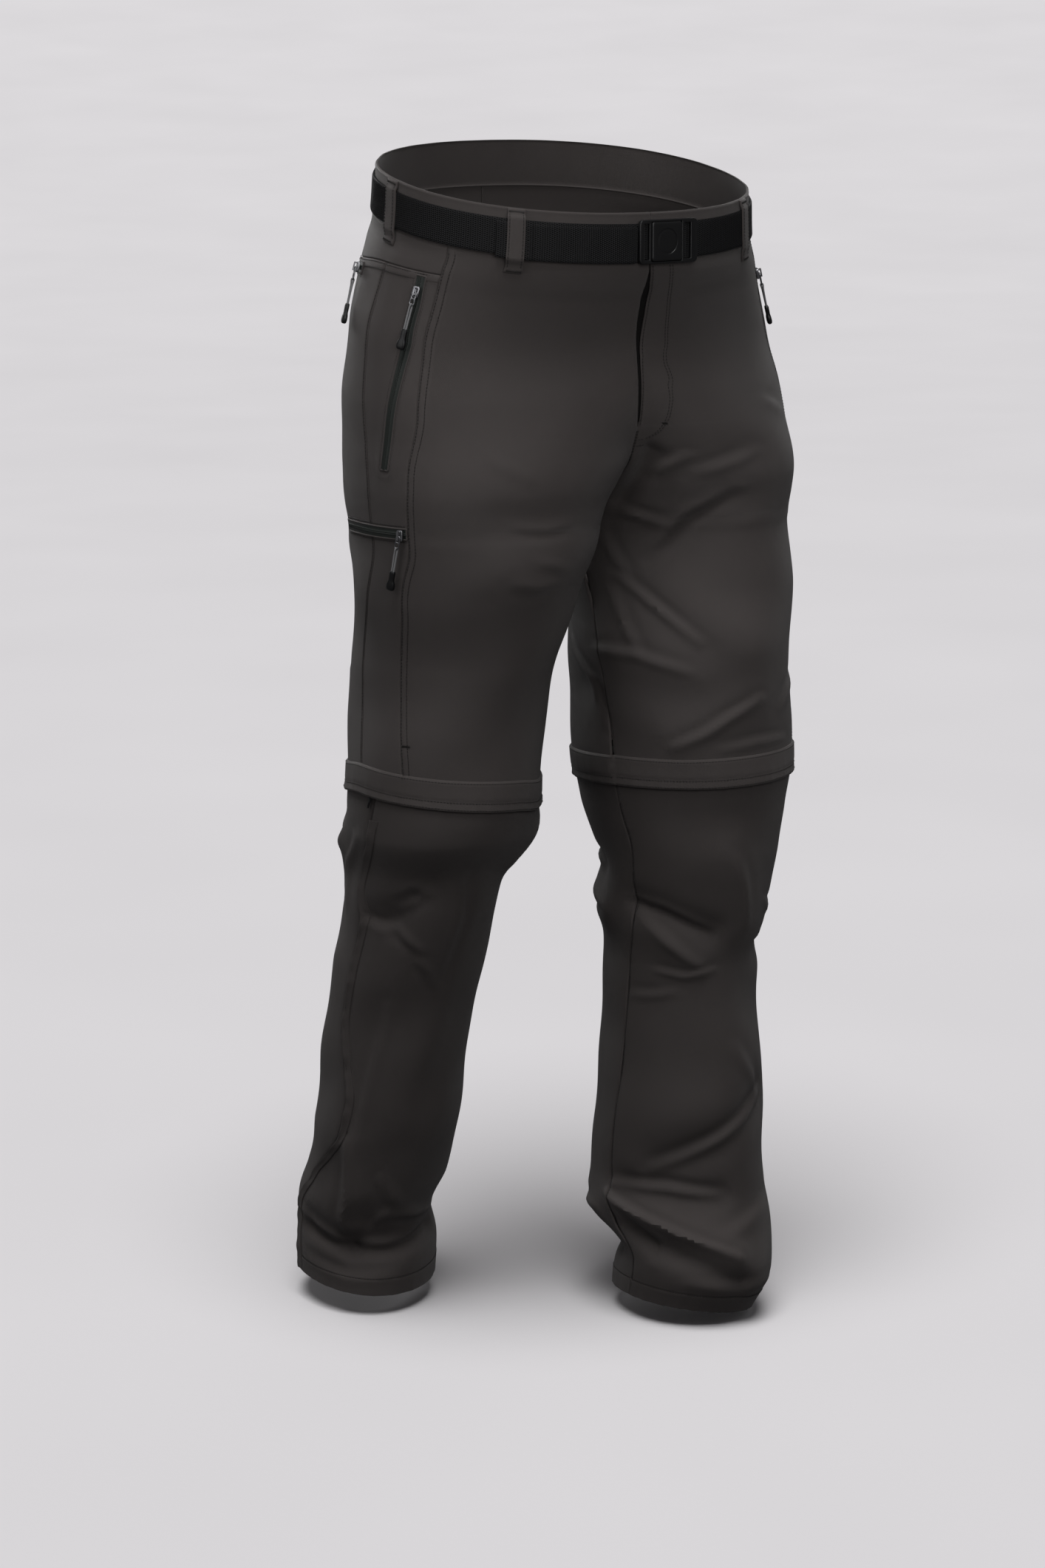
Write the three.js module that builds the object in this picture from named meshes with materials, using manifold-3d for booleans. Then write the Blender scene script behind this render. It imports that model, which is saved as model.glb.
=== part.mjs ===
// Convertible zip-off trousers, worn and hollow, with their own webbing belt.
// Millimetres, +Z up. The origin is the centre of the waist at the belt's mid height.
// The wearer faces -Y and the wearer's right side is -X.
import * as THREE from 'three';
import Module from 'manifold-3d';

const wasm = await Module();
wasm.setup();

// Cloth
const WALL = 2;
const SEAM = 0.3;
const HALF_SEAM = SEAM / 2;
const REST = 0.7;

// Waistband, belt and loops
const BAND_TOP = 25;
const BAND_BOTTOM = -17;
const BELT_HALF = 15.5;
const BELT_THICK = 2;
const BELT_JOINT_X = 20;
const TAIL_DROP = 2.5;
const TAIL_END = 47.5;
const LOOP_WIDTH = 15;
const LOOP_THICK = 1.5;
const LOOP_BOTTOM = -31;

// Buckle
const BUCKLE_WIDE = 64;
const BUCKLE_HIGH = 38;
const BUCKLE_THICK = 3.6;
const BUCKLE_X = 15;
const BUCKLE_CORNER = 4;
const PLATE_SIDE = 33.4;
const PLATE_THICK = 4.6;
const PLATE_PLACE = 2.4;
const WINDOW_HIGH = 31;
const WINDOW_WIDE = 7.4;
const WINDOW_LESS = 2;
const BUCKLE_BAR = 2.4;

// Fly
const FLY_END = -185;
const SHIELD_THICK = 1.2;
const SHIELD_HALF = 12;
const SHIELD_GAP = 0.9;

// Knee
const FLAP_HIGH = 27;
const FLAP_THICK = 1.5;
const UNDER_FLAP = 8;
const KNEE_ZIP_HIGH = 12;
const KNEE_ZIP_GAP = 0.9;

// Zips and their pulls
const TAPE_WIDE = 9.5;
const TAPE_THICK = 0.9;
const PLACKET_DEGREES = 6;
const SLIDER = { wide: 6.5, high: 10, thick: 2.2, corner: 1.6 };
const BRIDGE = { wide: 1.8, hole: 5.4, bar: 1.2, gap: 2, sunk: 0.2 };
const TAB = { wide: 5.2, long: 13, thick: 1, corner: 0.45, bar: 0.5, eyeWide: 3, eyeEnd: 5.1 };
const CORD = { wide: 4.2, thick: 1.8, long: 20 };
const END = { wide: 8.4, thick: 4.6, long: 18, corner: 2.6 };

// How fine the cloth is built
const FRONT_COLUMNS = 9;
const SIDE_COLUMNS = 3;
const BACK_COLUMNS = 10;
const RING_COLUMNS = 30;
const BAND_COLUMNS = 22;
const CORNER_STEPS = 3;
const UPPER_ROWS = [0, 0.35, 0.7];
const THIGH_ROWS = [-110, -135, -160, -180, -198, -214, -230, -244, -256, -266, -275, -283, -292,
  -306, -328, -355, -385, -415, -445, -475];
const LOWER_ROWS = [-550, -567, -585, -603, -622, -641, -661, -683, -710, -745, -785, -825,
  -860, -888, -910, -928, -944, -959, -974, -989, -1004, -1020, -1036];

const table = (columns, rows) => rows.map(
  (row) => Object.fromEntries(columns.map((name, i) => [name, row[i]])));

// Level sections of one leg, as distances from the middle plane outward and from front to back.
// Above the crotch a section is cut off at the middle plane, where it meets the other side's.
const SECTION = ['z', 'inner', 'outer', 'front', 'back', 'square', 'turn', 'tilt', 'lean'];
const HIPS = [
  [28, -177, 177, -129, 127, 2.2, 0, 0.21, 0],
  [0, -178, 178, -130, 129, 2.2, 0, 0.21, 0],
  [-22, -180, 180, -130, 131, 2.2, 0, 0.21, 0],
  [-40, -187, 187, -125, 132, 2.2, 0, 0.2, 0],
  [-60, -193, 193, -117, 132, 2.25, 0, 0.18, 0],
  [-110, -204, 207, -106, 132, 2.3, 0, 0.13, 0],
  [-160, -110, 214, -108, 131, 2.35, 0, 0.09, 0],
  [-200, -52, 217, -113, 128, 2.3, 0, 0.05, 0],
  [-220, -34, 218, -115, 126, 2.3, 0, 0.035, 0],
  [-240, -16, 218, -116, 124, 2.25, 0, 0.02, 0],
  [-262, -4, 217, -115, 123, 2.2, 0, 0.01, 0],
  [-283, -0.3, 216, -115, 120, 2.1, 0, 0, 0],
  [-292, 1.2, 215, -114, 119, 2.1, 0, 0, 0],
];
const LEGS = {
  right: table(SECTION, [...HIPS,
    [-340, 10, 208, -102, 122, 2, 5, 0, 0],
    [-400, 14, 194, -82, 134, 2, 12, 0, 0],
    [-460, 19, 195, -73, 139, 2, 17, 0, 0],
    [-520, 23, 197, -70, 138, 2, 21, 0, 0],
    [-560, 26, 196, -63, 139, 2, 24, 0, 0],
    [-600, 38, 185, -33, 151, 2, 25, 0, 0],
    [-640, 41, 183, -20, 156, 2, 26, 0, 0],
    [-700, 44, 182, 4, 174, 2, 27, 0, 0],
    [-780, 46, 180, 24, 190, 2, 28, 0, 0],
    [-860, 47, 180, 42, 208, 2, 29, 0, 0],
    [-920, 46, 180, 63, 229, 2, 30, 0.02, 0],
    [-962, 52, 180, 84, 248, 2, 30, 0.04, 0],
    [-1000, 48, 180, 83, 247, 2, 30, 0.06, 0],
    [-1036, 50, 182, 83, 243, 2, 30, 0.08, 0.03],
  ]),
  left: table(SECTION, [...HIPS,
    [-340, 6, 216, -125, 97, 2, 5, 0, 0],
    [-400, 10, 202, -140, 78, 2, 12, 0, 0],
    [-455, 15, 200, -142, 72, 2, 16, 0, 0],
    [-510, 17, 203, -143, 69, 2, 19, 0, 0],
    [-550, 25, 197, -136, 61, 2, 21, 0, 0],
    [-588, 33, 189, -134, 47, 2, 22, 0, 0],
    [-625, 38, 185, -126, 45, 2, 22, 0, 0],
    [-663, 42, 183, -117, 39, 2, 22, 0, 0],
    [-700, 46, 179, -109, 40, 2, 22, 0, 0],
    [-775, 45, 181, -113, 43, 2, 22, 0, 0],
    [-850, 44, 183, -118, 48, 2, 24, 0, 0],
    [-922, 43, 185, -117, 55, 2, 26, 0, 0],
    [-958, 42, 186, -127, 46, 2, 26, 0, -0.04],
    [-995, 47, 179, -137, 17, 2, 26, 0, -0.1],
    [-1036, 48, 172, -118, 18, 2, 26, 0, -0.16],
  ]),
};
// The hips lean to the wearer's left
const SHIFT = table(['z', 'x'], [[-20, 0], [-60, 3], [-110, 6], [-160, 9], [-200, 11],
  [-240, 12], [-292, 12], [-340, 8], [-400, 2], [-460, 0]]);

// Seams, as angles round a leg from its front (0) over its outer side (90) to its back (180)
const FRONT_SEAM = table(['z', 'angle'], [[-20, 65], [-90, 63], [-170, 63], [-228, 68],
  [-309, 68], [-360, 62], [-420, 53.5], [-470, 44.5], [-505, 40]]);
const OUT_SEAM = table(['z', 'angle'], [[-20, 89], [-220, 90], [-365, 88.5], [-430, 82],
  [-470, 76], [-505, 71]]);
const IN_SEAM = table(['z', 'angle'], [[-292, -90], [-400, -96], [-630, -99], [-780, -108],
  [-900, -117], [-1036, -117]]);
const LOWER_SEAM = {
  right: table(['z', 'angle'], [[-510, 57], [-576, 61], [-612, 63], [-650, 57], [-700, 56],
    [-744, 58], [-790, 51], [-830, 44], [-863, 46], [-890, 57], [-916, 69], [-967, 76],
    [-1036, 78]]),
  left: table(['z', 'angle'], [[-510, 60], [-600, 62], [-740, 57], [-850, 50], [-920, 62],
    [-1036, 72]]),
};
const YOKE_SEAM = table(['angle', 'z'], [[65, -43], [90, -46], [110, -54], [140, -66],
  [180, -80]]);
const FLAP_TOP = {
  right: table(['angle', 'z'], [[-99, -508], [-62, -511], [-32, -504], [6, -499], [41, -495],
    [71, -493], [100, -500], [150, -506], [200, -506], [261, -508]]),
  left: table(['angle', 'z'], [[-99, -497], [-54, -494], [-18, -493], [15, -493], [60, -495],
    [110, -500], [160, -505], [210, -503], [261, -497]]),
};
// Half the width of the fly's slit
const SLIT = table(['z', 'half'], [[-17, HALF_SEAM], [-36, 0.8], [-52, 1.9], [-78, 1.8],
  [-110, 0.8], [-160, 0.5], [FLY_END, HALF_SEAM]]);

// The largest folds: straight runs over the unrolled leg, with width and height in millimetres
const FOLD = ['z0', 'angle0', 'z1', 'angle1', 'width', 'height'];
const FOLDS = {
  right: table(FOLD, [
    [-262, 20, -272, -20, 22, -2.2],
    [-312, 22, -322, -16, 24, 2.4],
    [-345, 130, -380, 215, 26, -4.5],
    [-300, 140, -330, 235, 24, 4.5],
    [-560, -84, -588, -60, 17, 6],
    [-570, 118, -588, 92, 16, 7],
    [-606, 8, -632, 32, 15, -4],
    [-641, 26, -637, 48, 15, -4.5],
    [-610, 150, -600, 225, 18, -8],
    [-640, 140, -650, 235, 18, 7],
    [-672, 160, -690, 245, 20, -6],
    [-700, 84, -860, 96, 24, 4],
    [-745, -40, -870, -15, 26, -3],
    [-878, 34, -962, 20, 22, 6],
    [-944, -10, -960, -66, 17, 5],
    [-972, 56, -984, 14, 15, -8],
    [-984, 14, -976, -66, 15, -8],
    [-925, 150, -945, 250, 18, 6],
    [-960, 120, -970, 240, 17, -8],
  ]),
  left: table(FOLD, [
    [-234, -36, -216, 6, 20, -3],
    [-317, -52, -262, -6, 22, -4],
    [-345, -62, -392, -38, 20, -4],
    [-352, -40, -395, -14, 24, 2.4],
    [-402, -84, -414, -48, 20, 3.4],
    [-434, -118, -400, -134, 20, -5],
    [-474, -58, -442, -14, 22, 3.4],
    [-345, 130, -370, 220, 26, -4.5],
    [-305, 140, -330, 235, 24, 4.5],
    [-585, -34, -655, -14, 22, 4],
    [-640, -96, -664, -42, 15, -7],
    [-652, -92, -692, -50, 16, 3.5],
    [-688, 14, -686, 48, 16, -5],
    [-604, 145, -612, 225, 18, -7],
    [-645, 140, -655, 230, 18, 6],
    [-760, 96, -880, 112, 24, 4],
    [-893, -78, -833, 8, 24, -6],
    [-918, -104, -922, -40, 17, -5],
    [-936, -112, -978, -34, 17, 8],
    [-962, -100, -1000, -30, 15, -7],
    [-940, 140, -950, 220, 18, 6],
    [-975, 130, -985, 215, 17, -7],
  ]),
};
const MM_PER_DEGREE = 1.6;
const TURN = 360;
const MEAN_RADIUS = 120;
// Where sloping rows are measured: at the thigh's front seam and at the lower leg's side seam
const THIGH_MARK = 65;
const LOWER_MARK = 57;

const rad = (degrees) => degrees * Math.PI / 180;
const deg = (radians) => radians * 180 / Math.PI;
const lerp = (a, b, t) => a + (b - a) * t;
const sign = { right: -1, left: 1 };
const steps = (count) => Array.from({ length: count + 1 }, (_, i) => i / count);

// A smooth curve through a table's rows that doesn't swing past them
function curve(rows, along, across) {
  const x = rows.map((row) => row[along]);
  const y = rows.map((row) => row[across]);
  const last = x.length - 1;
  const rise = x.slice(1).map((value, i) => (y[i + 1] - y[i]) / (value - x[i]));
  const slope = x.map((_, i) => {
    if (i === 0) return rise[0];
    if (i === last) return rise[last - 1];
    if (rise[i - 1] * rise[i] <= 0) return 0;
    return 2 * rise[i - 1] * rise[i] / (rise[i - 1] + rise[i]);
  });
  return (at) => {
    const inside = Math.min(Math.max(at, Math.min(x[0], x[last])), Math.max(x[0], x[last]));
    let i = 0;
    while (i < last - 1 && (inside - x[i + 1]) * (x[last] - x[0]) > 0) i += 1;
    const h = x[i + 1] - x[i];
    const t = (inside - x[i]) / h;
    return y[i] * (1 + 2 * t) * (1 - t) ** 2 + slope[i] * h * t * (1 - t) ** 2
      + y[i + 1] * t * t * (3 - 2 * t) - slope[i + 1] * h * t * t * (1 - t);
  };
}

const SECTION_CURVES = Object.fromEntries(Object.entries(LEGS).map(([side, rows]) => [side,
  Object.fromEntries(SECTION.slice(1).map((name) => [name, curve(rows, 'z', name)]))]));
const shiftAt = curve(SHIFT, 'z', 'x');
const frontSeam = curve(FRONT_SEAM, 'z', 'angle');
const outSeam = curve(OUT_SEAM, 'z', 'angle');
const inSeam = curve(IN_SEAM, 'z', 'angle');
const yokeSeam = curve(YOKE_SEAM, 'angle', 'z');
const slitAt = curve(SLIT, 'z', 'half');
const lowerSeam = { right: curve(LOWER_SEAM.right, 'z', 'angle'),
  left: curve(LOWER_SEAM.left, 'z', 'angle') };
const flapTop = { right: curve(FLAP_TOP.right, 'angle', 'z'),
  left: curve(FLAP_TOP.left, 'angle', 'z') };

function sectionAt(side, z) {
  const s = Object.fromEntries(
    Object.entries(SECTION_CURVES[side]).map(([name, value]) => [name, value(z)]));
  return { ...s, middle: (s.inner + s.outer) / 2, halfWidth: (s.outer - s.inner) / 2,
    centre: (s.front + s.back) / 2, halfDepth: (s.back - s.front) / 2, shift: shiftAt(z) };
}

// A point of the smooth form, before its folds
function smoothPoint(side, z, angle) {
  const s = sectionAt(side, z);
  const power = 2 / s.square;
  const round = (value) => Math.sign(value) * Math.abs(value) ** power;
  const across = round(Math.sin(rad(angle))) * s.halfWidth;
  const ahead = -round(Math.cos(rad(angle))) * s.halfDepth;
  const turn = rad(s.turn);
  const x = across * Math.cos(turn) - ahead * Math.sin(turn);
  const y = across * Math.sin(turn) + ahead * Math.cos(turn) + s.centre;
  return new THREE.Vector3(sign[side] * (x + s.middle) + s.shift, y,
    z + s.tilt * y + s.lean * x);
}

function normalOf(point, side, z, angle) {
  const round = point(side, z, angle + 0.5).sub(point(side, z, angle - 0.5));
  const up = point(side, z + 1, angle).sub(point(side, z - 1, angle));
  return round.cross(up).normalize().multiplyScalar(sign[side]);
}

// Height of the folds over the smooth form
function foldHeight(side, z, angle) {
  let height = 0;
  for (const fold of FOLDS[side]) {
    const middle = (fold.angle0 + fold.angle1) / 2;
    const near = angle - TURN * Math.round((angle - middle) / TURN);
    const u = (near - fold.angle0) * MM_PER_DEGREE;
    const v = z - fold.z0;
    const du = (fold.angle1 - fold.angle0) * MM_PER_DEGREE;
    const dv = fold.z1 - fold.z0;
    const t = Math.min(Math.max((u * du + v * dv) / (du * du + dv * dv), 0), 1);
    const away = Math.hypot(u - t * du, v - t * dv) / fold.width;
    height += fold.height * Math.exp(-away * away);
  }
  return height;
}

function foldedPoint(side, z, angle) {
  const height = foldHeight(side, z, angle);
  return smoothPoint(side, z, angle)
    .addScaledVector(normalOf(smoothPoint, side, z, angle), height);
}

// A point of the cloth's outer face, moved out by a distance
function cloth(side, z, angle, out = 0) {
  const point = foldedPoint(side, z, angle);
  return out === 0 ? point : point.addScaledVector(normalOf(foldedPoint, side, z, angle), out);
}

// The angle at which a section is a distance outward from the middle plane, on its front
function angleAtX(side, z, x) {
  const s = sectionAt(side, z);
  const reach = (x - s.middle) / s.halfWidth;
  if (reach <= -1) return null;
  return Math.sign(reach) * deg(Math.asin(Math.abs(reach) ** (s.square / 2)));
}

const gapAngle = (side, z) => deg(HALF_SEAM / sectionAt(side, z).halfDepth);

function frontStart(side, z) {
  const gap = z < FLY_END ? HALF_SEAM : slitAt(z);
  return angleAtX(side, z, gap) ?? inSeam(z) + gapAngle(side, z);
}

function backEnd(side, z) {
  const cut = angleAtX(side, z, HALF_SEAM);
  return cut === null ? TURN + inSeam(z) - gapAngle(side, z) : 180 - cut;
}

// A closed wall between two grids of points; a ring's last column meets its first
function wall(outer, inner, ring = false) {
  const rows = outer.length;
  const columns = outer[0].length;
  const position = [...outer.flat(), ...inner.flat()].flatMap((p) => p.toArray());
  const index = [];
  const at = (layer, i, j) => layer * rows * columns + i * columns + (j % columns);
  const quad = (a, b, c, d) => index.push(a, b, c, a, c, d);
  const across = ring ? columns : columns - 1;
  for (let j = 0; j < across; j += 1) {
    for (let i = 0; i < rows - 1; i += 1) {
      quad(at(0, i, j), at(0, i + 1, j), at(0, i + 1, j + 1), at(0, i, j + 1));
      quad(at(1, i, j), at(1, i, j + 1), at(1, i + 1, j + 1), at(1, i + 1, j));
    }
    quad(at(1, 0, j), at(0, 0, j), at(0, 0, j + 1), at(1, 0, j + 1));
    const foot = rows - 1;
    quad(at(0, foot, j), at(1, foot, j), at(1, foot, j + 1), at(0, foot, j + 1));
  }
  if (!ring) {
    for (let i = 0; i < rows - 1; i += 1) {
      const edge = columns - 1;
      quad(at(0, i, 0), at(1, i, 0), at(1, i + 1, 0), at(0, i + 1, 0));
      quad(at(0, i, edge), at(0, i + 1, edge), at(1, i + 1, edge), at(1, i, edge));
    }
  }
  return facingOut(position, index);
}

function facingOut(position, index) {
  const geometry = new THREE.BufferGeometry();
  geometry.setAttribute('position', new THREE.Float32BufferAttribute(position, 3));
  const corner = (i) => new THREE.Vector3().fromArray(position, 3 * i);
  let volume = 0;
  for (let i = 0; i < index.length; i += 3) {
    volume += corner(index[i]).dot(corner(index[i + 1]).cross(corner(index[i + 2])));
  }
  geometry.setIndex(volume < 0 ? [...index].reverse() : index);
  geometry.computeVertexNormals();
  return geometry;
}

// Cloth on a list of rows, each with a level for every angle and its first and last angle
function panel(side, rows, columns) {
  const place = (out) => rows.map((row) => steps(columns).map((t) => {
    const angle = lerp(row.start, row.end, t);
    return cloth(side, row.level(angle), angle, out);
  }));
  return wall(place(0), place(-WALL));
}

// Rows of a thigh from a top line down to the knee; the seams keep the angles of each row
function thighRows(side, top, start, end) {
  const knee = (angle) => flapTop[side](angle) - UNDER_FLAP;
  const levels = [top,
    ...UPPER_ROWS.slice(1).map((t) => (angle) => lerp(yokeSeam(angle), THIGH_ROWS[0], t)),
    ...THIGH_ROWS.map((z) => () => z), knee];
  return levels.map((level) => ({ level, start: start(level), end: end(level) }));
}

const atSeam = (seam, offset) => (level) => {
  const z = level(THIGH_MARK);
  return seam(z) + offset * deg(HALF_SEAM / MEAN_RADIUS);
};

// Levels of the yoke, which the front's top rows repeat beside it
const yokeLevels = steps(2).map(
  (t) => (angle) => lerp(BAND_BOTTOM - SEAM, yokeSeam(angle), t));

function front(side) {
  const start = (level) => frontStart(side, level(0));
  const end = atSeam(frontSeam, -1);
  const top = yokeLevels.slice(0, -1).map(
    (level) => ({ level, start: start(level), end: end(level) }));
  return panel(side, [...top, ...thighRows(side, yokeLevels.at(-1), start, end)], FRONT_COLUMNS);
}

const underYoke = (angle) => yokeSeam(angle) - SEAM;

function sidePanel(side) {
  return panel(side, thighRows(side, underYoke, atSeam(frontSeam, 1), atSeam(outSeam, -1)),
    SIDE_COLUMNS);
}

function back(side) {
  const end = (level) => backEnd(side, level(180));
  return panel(side, thighRows(side, underYoke, atSeam(outSeam, 1), end), BACK_COLUMNS);
}

function yoke(side) {
  const rows = yokeLevels.map((level) => ({ level, start: atSeam(frontSeam, 1)(level),
    end: backEnd(side, level(180)) }));
  return panel(side, rows, SIDE_COLUMNS + BACK_COLUMNS);
}

// Places round the waist from a distance right of the middle over the back to one left of it
function roundWaist(rightX, leftX) {
  const half = (side, x) => steps(BAND_COLUMNS).map((t) => (z) => {
    const start = angleAtX(side, z, x);
    return [side, lerp(start, 180, t)];
  });
  return [...half('right', rightX), ...half('left', leftX).reverse().slice(1)];
}

function strip(places, path, thick) {
  const layer = (drop) => path.map(({ z, out }) => places.map((place) => {
    const [side, angle] = place(z);
    return cloth(side, z, angle, out - drop);
  }));
  return wall(layer(0), layer(thick));
}

function waistband() {
  const path = [{ z: BAND_TOP, out: 0 }, { z: 0, out: 0 }, { z: BAND_BOTTOM, out: 0 }];
  return strip(roundWaist(HALF_SEAM, HALF_SEAM), path, WALL);
}

const BELT_OUT = REST + BELT_THICK;
const TAIL_OUT = BELT_OUT + SEAM + BELT_THICK;

// The belt's two ends meet behind the buckle plate, left of the middle
function belt() {
  const path = [{ z: BELT_HALF, out: BELT_OUT }, { z: -BELT_HALF, out: BELT_OUT }];
  const ahead = steps(3).slice(0, -1).map((t) => (z) => [
    'left', angleAtX('left', z, lerp(BELT_JOINT_X - SEAM, 0.5, t))]);
  return strip([...ahead, ...roundWaist(0.5, BELT_JOINT_X)], path, BELT_THICK);
}

// The belt's tail lies on it from the buckle round to the wearer's right
function beltTail() {
  const path = [{ z: BELT_HALF - TAIL_DROP, out: TAIL_OUT },
    { z: -BELT_HALF - TAIL_DROP, out: TAIL_OUT }];
  const startX = BUCKLE_WIDE / 2 - BUCKLE_X + 0.6;
  const places = steps(9).map((t) => (z) => [
    'right', lerp(angleAtX('right', z, startX), TAIL_END, t)]);
  return strip(places, path, BELT_THICK);
}

// A loop folds in at its top, passes over the belt and is tacked below the waistband
function beltLoop(side, angle, over) {
  const far = over + SEAM + LOOP_THICK;
  const near = REST + LOOP_THICK;
  const path = [{ z: BAND_TOP - 1, out: near }, { z: BAND_TOP - 5, out: near + 0.3 },
    { z: BELT_HALF + 2, out: far }, { z: -BELT_HALF - 3.5, out: far },
    { z: -BELT_HALF - 8, out: near + 0.5 }, { z: LOOP_BOTTOM, out: near }];
  const half = LOOP_WIDTH / 2;
  const places = steps(2).map((t) => (z) => {
    const s = sectionAt(side, z);
    const radius = Math.hypot(Math.cos(rad(angle)) * s.halfWidth,
      Math.sin(rad(angle)) * s.halfDepth);
    return [side, angle + deg(lerp(-half, half, t) / radius)];
  });
  return strip(places, path, LOOP_THICK);
}

// The fly's under layer closes the slit from behind
function flyShield() {
  const levels = [...yokeLevels.slice(0, -1), ...thighRows('left', yokeLevels.at(-1),
    () => 0, () => 0).map(({ level }) => level)].map((level) => level(0));
  const layer = (depth) => levels.filter((z) => z > FLY_END).map((z) => {
    const at = (side, x) => cloth(side, z, angleAtX(side, z, x), -depth);
    const middle = at('right', 1).lerp(at('left', 1), 0.5);
    return [at('right', SHIELD_HALF), at('right', SHIELD_HALF / 2), middle,
      at('left', SHIELD_HALF / 2), at('left', SHIELD_HALF)];
  });
  const depth = WALL + SHIELD_GAP;
  return wall(layer(depth), layer(depth + SHIELD_THICK));
}

// Angles round the knee: those of the thigh's last columns
function kneeAngles(side) {
  const level = () => flapTop[side](0) - UNDER_FLAP;
  const marks = [[frontStart(side, level()), FRONT_COLUMNS],
    [atSeam(frontSeam, 0)(level), SIDE_COLUMNS], [atSeam(outSeam, 0)(level), BACK_COLUMNS]];
  const ends = [...marks.slice(1).map(([angle]) => angle), marks[0][0] + TURN];
  return marks.flatMap(([angle, columns], i) => steps(columns).slice(0, -1)
    .map((t) => lerp(angle, ends[i], t)));
}

// A ring round the knee; its path gives the drop below the flap's top line and how far out
function kneeRing(side, angles, path, thick) {
  const layer = (drop) => path.map(({ down, out }) => angles.map(
    (angle) => cloth(side, flapTop[side](angle) - down, angle, out - drop)));
  return wall(layer(0), layer(thick), true);
}

const kneeZip = (side) => kneeRing(side, kneeAngles(side),
  [{ down: UNDER_FLAP + SEAM, out: 0 }, { down: UNDER_FLAP + KNEE_ZIP_HIGH, out: 0 }], WALL);

const ringAngles = steps(RING_COLUMNS).slice(0, -1).map((t) => IN_SEAM[1].angle + TURN * t);

const kneeFlap = (side) => kneeRing(side, ringAngles, [{ down: 0, out: FLAP_THICK + 1 },
  { down: 3, out: FLAP_THICK + 1.4 }, { down: 0.6 * FLAP_HIGH, out: FLAP_THICK + 1.6 },
  { down: FLAP_HIGH, out: FLAP_THICK + 2.4 }], FLAP_THICK);

const lowerTop = (side) => (angle) => (
  flapTop[side](angle) - UNDER_FLAP - KNEE_ZIP_HIGH - KNEE_ZIP_GAP);
const lowerLevels = (side) => [lowerTop(side), ...LOWER_ROWS.map((z) => () => z)];

// The front's last column is as wide as the zip's placket, which lies on it
function lowerFrontGrid(side, out) {
  return lowerLevels(side).map((level) => {
    const z = level(LOWER_MARK);
    const start = inSeam(z) + gapAngle(side, z);
    const end = lowerSeam[side](z) - gapAngle(side, z);
    const angles = [...steps(FRONT_COLUMNS).map((t) => lerp(start, end - PLACKET_DEGREES, t)),
      end];
    return angles.map((angle) => cloth(side, level(angle), angle, out));
  });
}

const lowerFront = (side) => wall(lowerFrontGrid(side, 0), lowerFrontGrid(side, -WALL));

function lowerBack(side) {
  const rows = lowerLevels(side).map((level) => {
    const z = level(LOWER_MARK);
    const gap = gapAngle(side, z);
    return { level, start: lowerSeam[side](z) + gap, end: TURN + inSeam(z) - gap };
  });
  return panel(side, rows, BACK_COLUMNS);
}

function sideZip(side) {
  const layer = (out) => lowerFrontGrid(side, out).slice(1).map((row) => row.slice(-2));
  return wall(layer(REST + TAPE_THICK), layer(REST));
}

// A zip tape along a route over the cloth, given as levels and angles
const ROUTE = ['z', 'angle'];
const HAND_ZIP = table(ROUTE, [[-47, 71.5], [-75, 70], [-108, 69.6], [-150, 73.5],
  [-183, 76.5], [-222, 80.5]]);
const CARGO_ZIP = table(ROUTE, [[-277, 68.5], [-278, 86], [-279, 104], [-281, 119]]);
const BACK_ZIP = table(ROUTE, [[-60.5, 104], [-64, 118], [-70, 134], [-76, 150]]);

function tape(side, route, samples, level) {
  const along = steps(samples).map((t) => {
    const span = t * (route.length - 1);
    const i = Math.min(Math.floor(span), route.length - 2);
    return { z: lerp(route[i].z, route[i + 1].z, span - i),
      angle: lerp(route[i].angle, route[i + 1].angle, span - i) };
  });
  const grid = (out) => along.map(({ z, angle }) => steps(2).map((t) => {
    const aside = lerp(-TAPE_WIDE / 2, TAPE_WIDE / 2, t);
    const reach = cloth(side, z, angle + 1).distanceTo(cloth(side, z, angle));
    return level ? cloth(side, z + aside, angle, out)
      : cloth(side, z, angle + aside / reach, out);
  }));
  return wall(grid(REST + TAPE_THICK), grid(REST));
}

// Small hard pieces are drawn in a frame of their own: X along the cloth, Y out, Z up
function box(wide, thick, high, x, y, z) {
  return new THREE.BoxGeometry(wide, thick, high).translate(x, y, z);
}

function solid(geometry) {
  const { position } = geometry.attributes;
  const vertProperties = [];
  const known = new Map();
  const number = [];
  for (let i = 0; i < position.count; i += 1) {
    const point = [position.getX(i), position.getY(i), position.getZ(i)];
    const key = point.map((value) => value.toFixed(4)).join(' ');
    if (!known.has(key)) {
      known.set(key, known.size);
      vertProperties.push(...point);
    }
    number.push(known.get(key));
  }
  const corners = geometry.index ? Array.from(geometry.index.array) : number.map((_, i) => i);
  return new wasm.Manifold(new wasm.Mesh({ numProp: 3,
    vertProperties: new Float32Array(vertProperties),
    triVerts: new Uint32Array(corners.map((i) => number[i])) }));
}

function meshOf(body) {
  const mesh = body.getMesh();
  const geometry = new THREE.BufferGeometry();
  geometry.setAttribute('position', new THREE.Float32BufferAttribute(mesh.vertProperties, 3));
  geometry.setIndex(Array.from(mesh.triVerts));
  geometry.computeVertexNormals();
  return geometry;
}

function roundedShape(wide, high, corner) {
  const quarters = [[1, 1], [-1, 1], [-1, -1], [1, -1]];
  return new THREE.Shape(quarters.flatMap(([x, y], i) => steps(CORNER_STEPS).map((t) => {
    const turn = (i + t) * Math.PI / 2;
    return new THREE.Vector2(x * (wide / 2 - corner) + corner * Math.cos(turn),
      y * (high / 2 - corner) + corner * Math.sin(turn));
  })));
}

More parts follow.
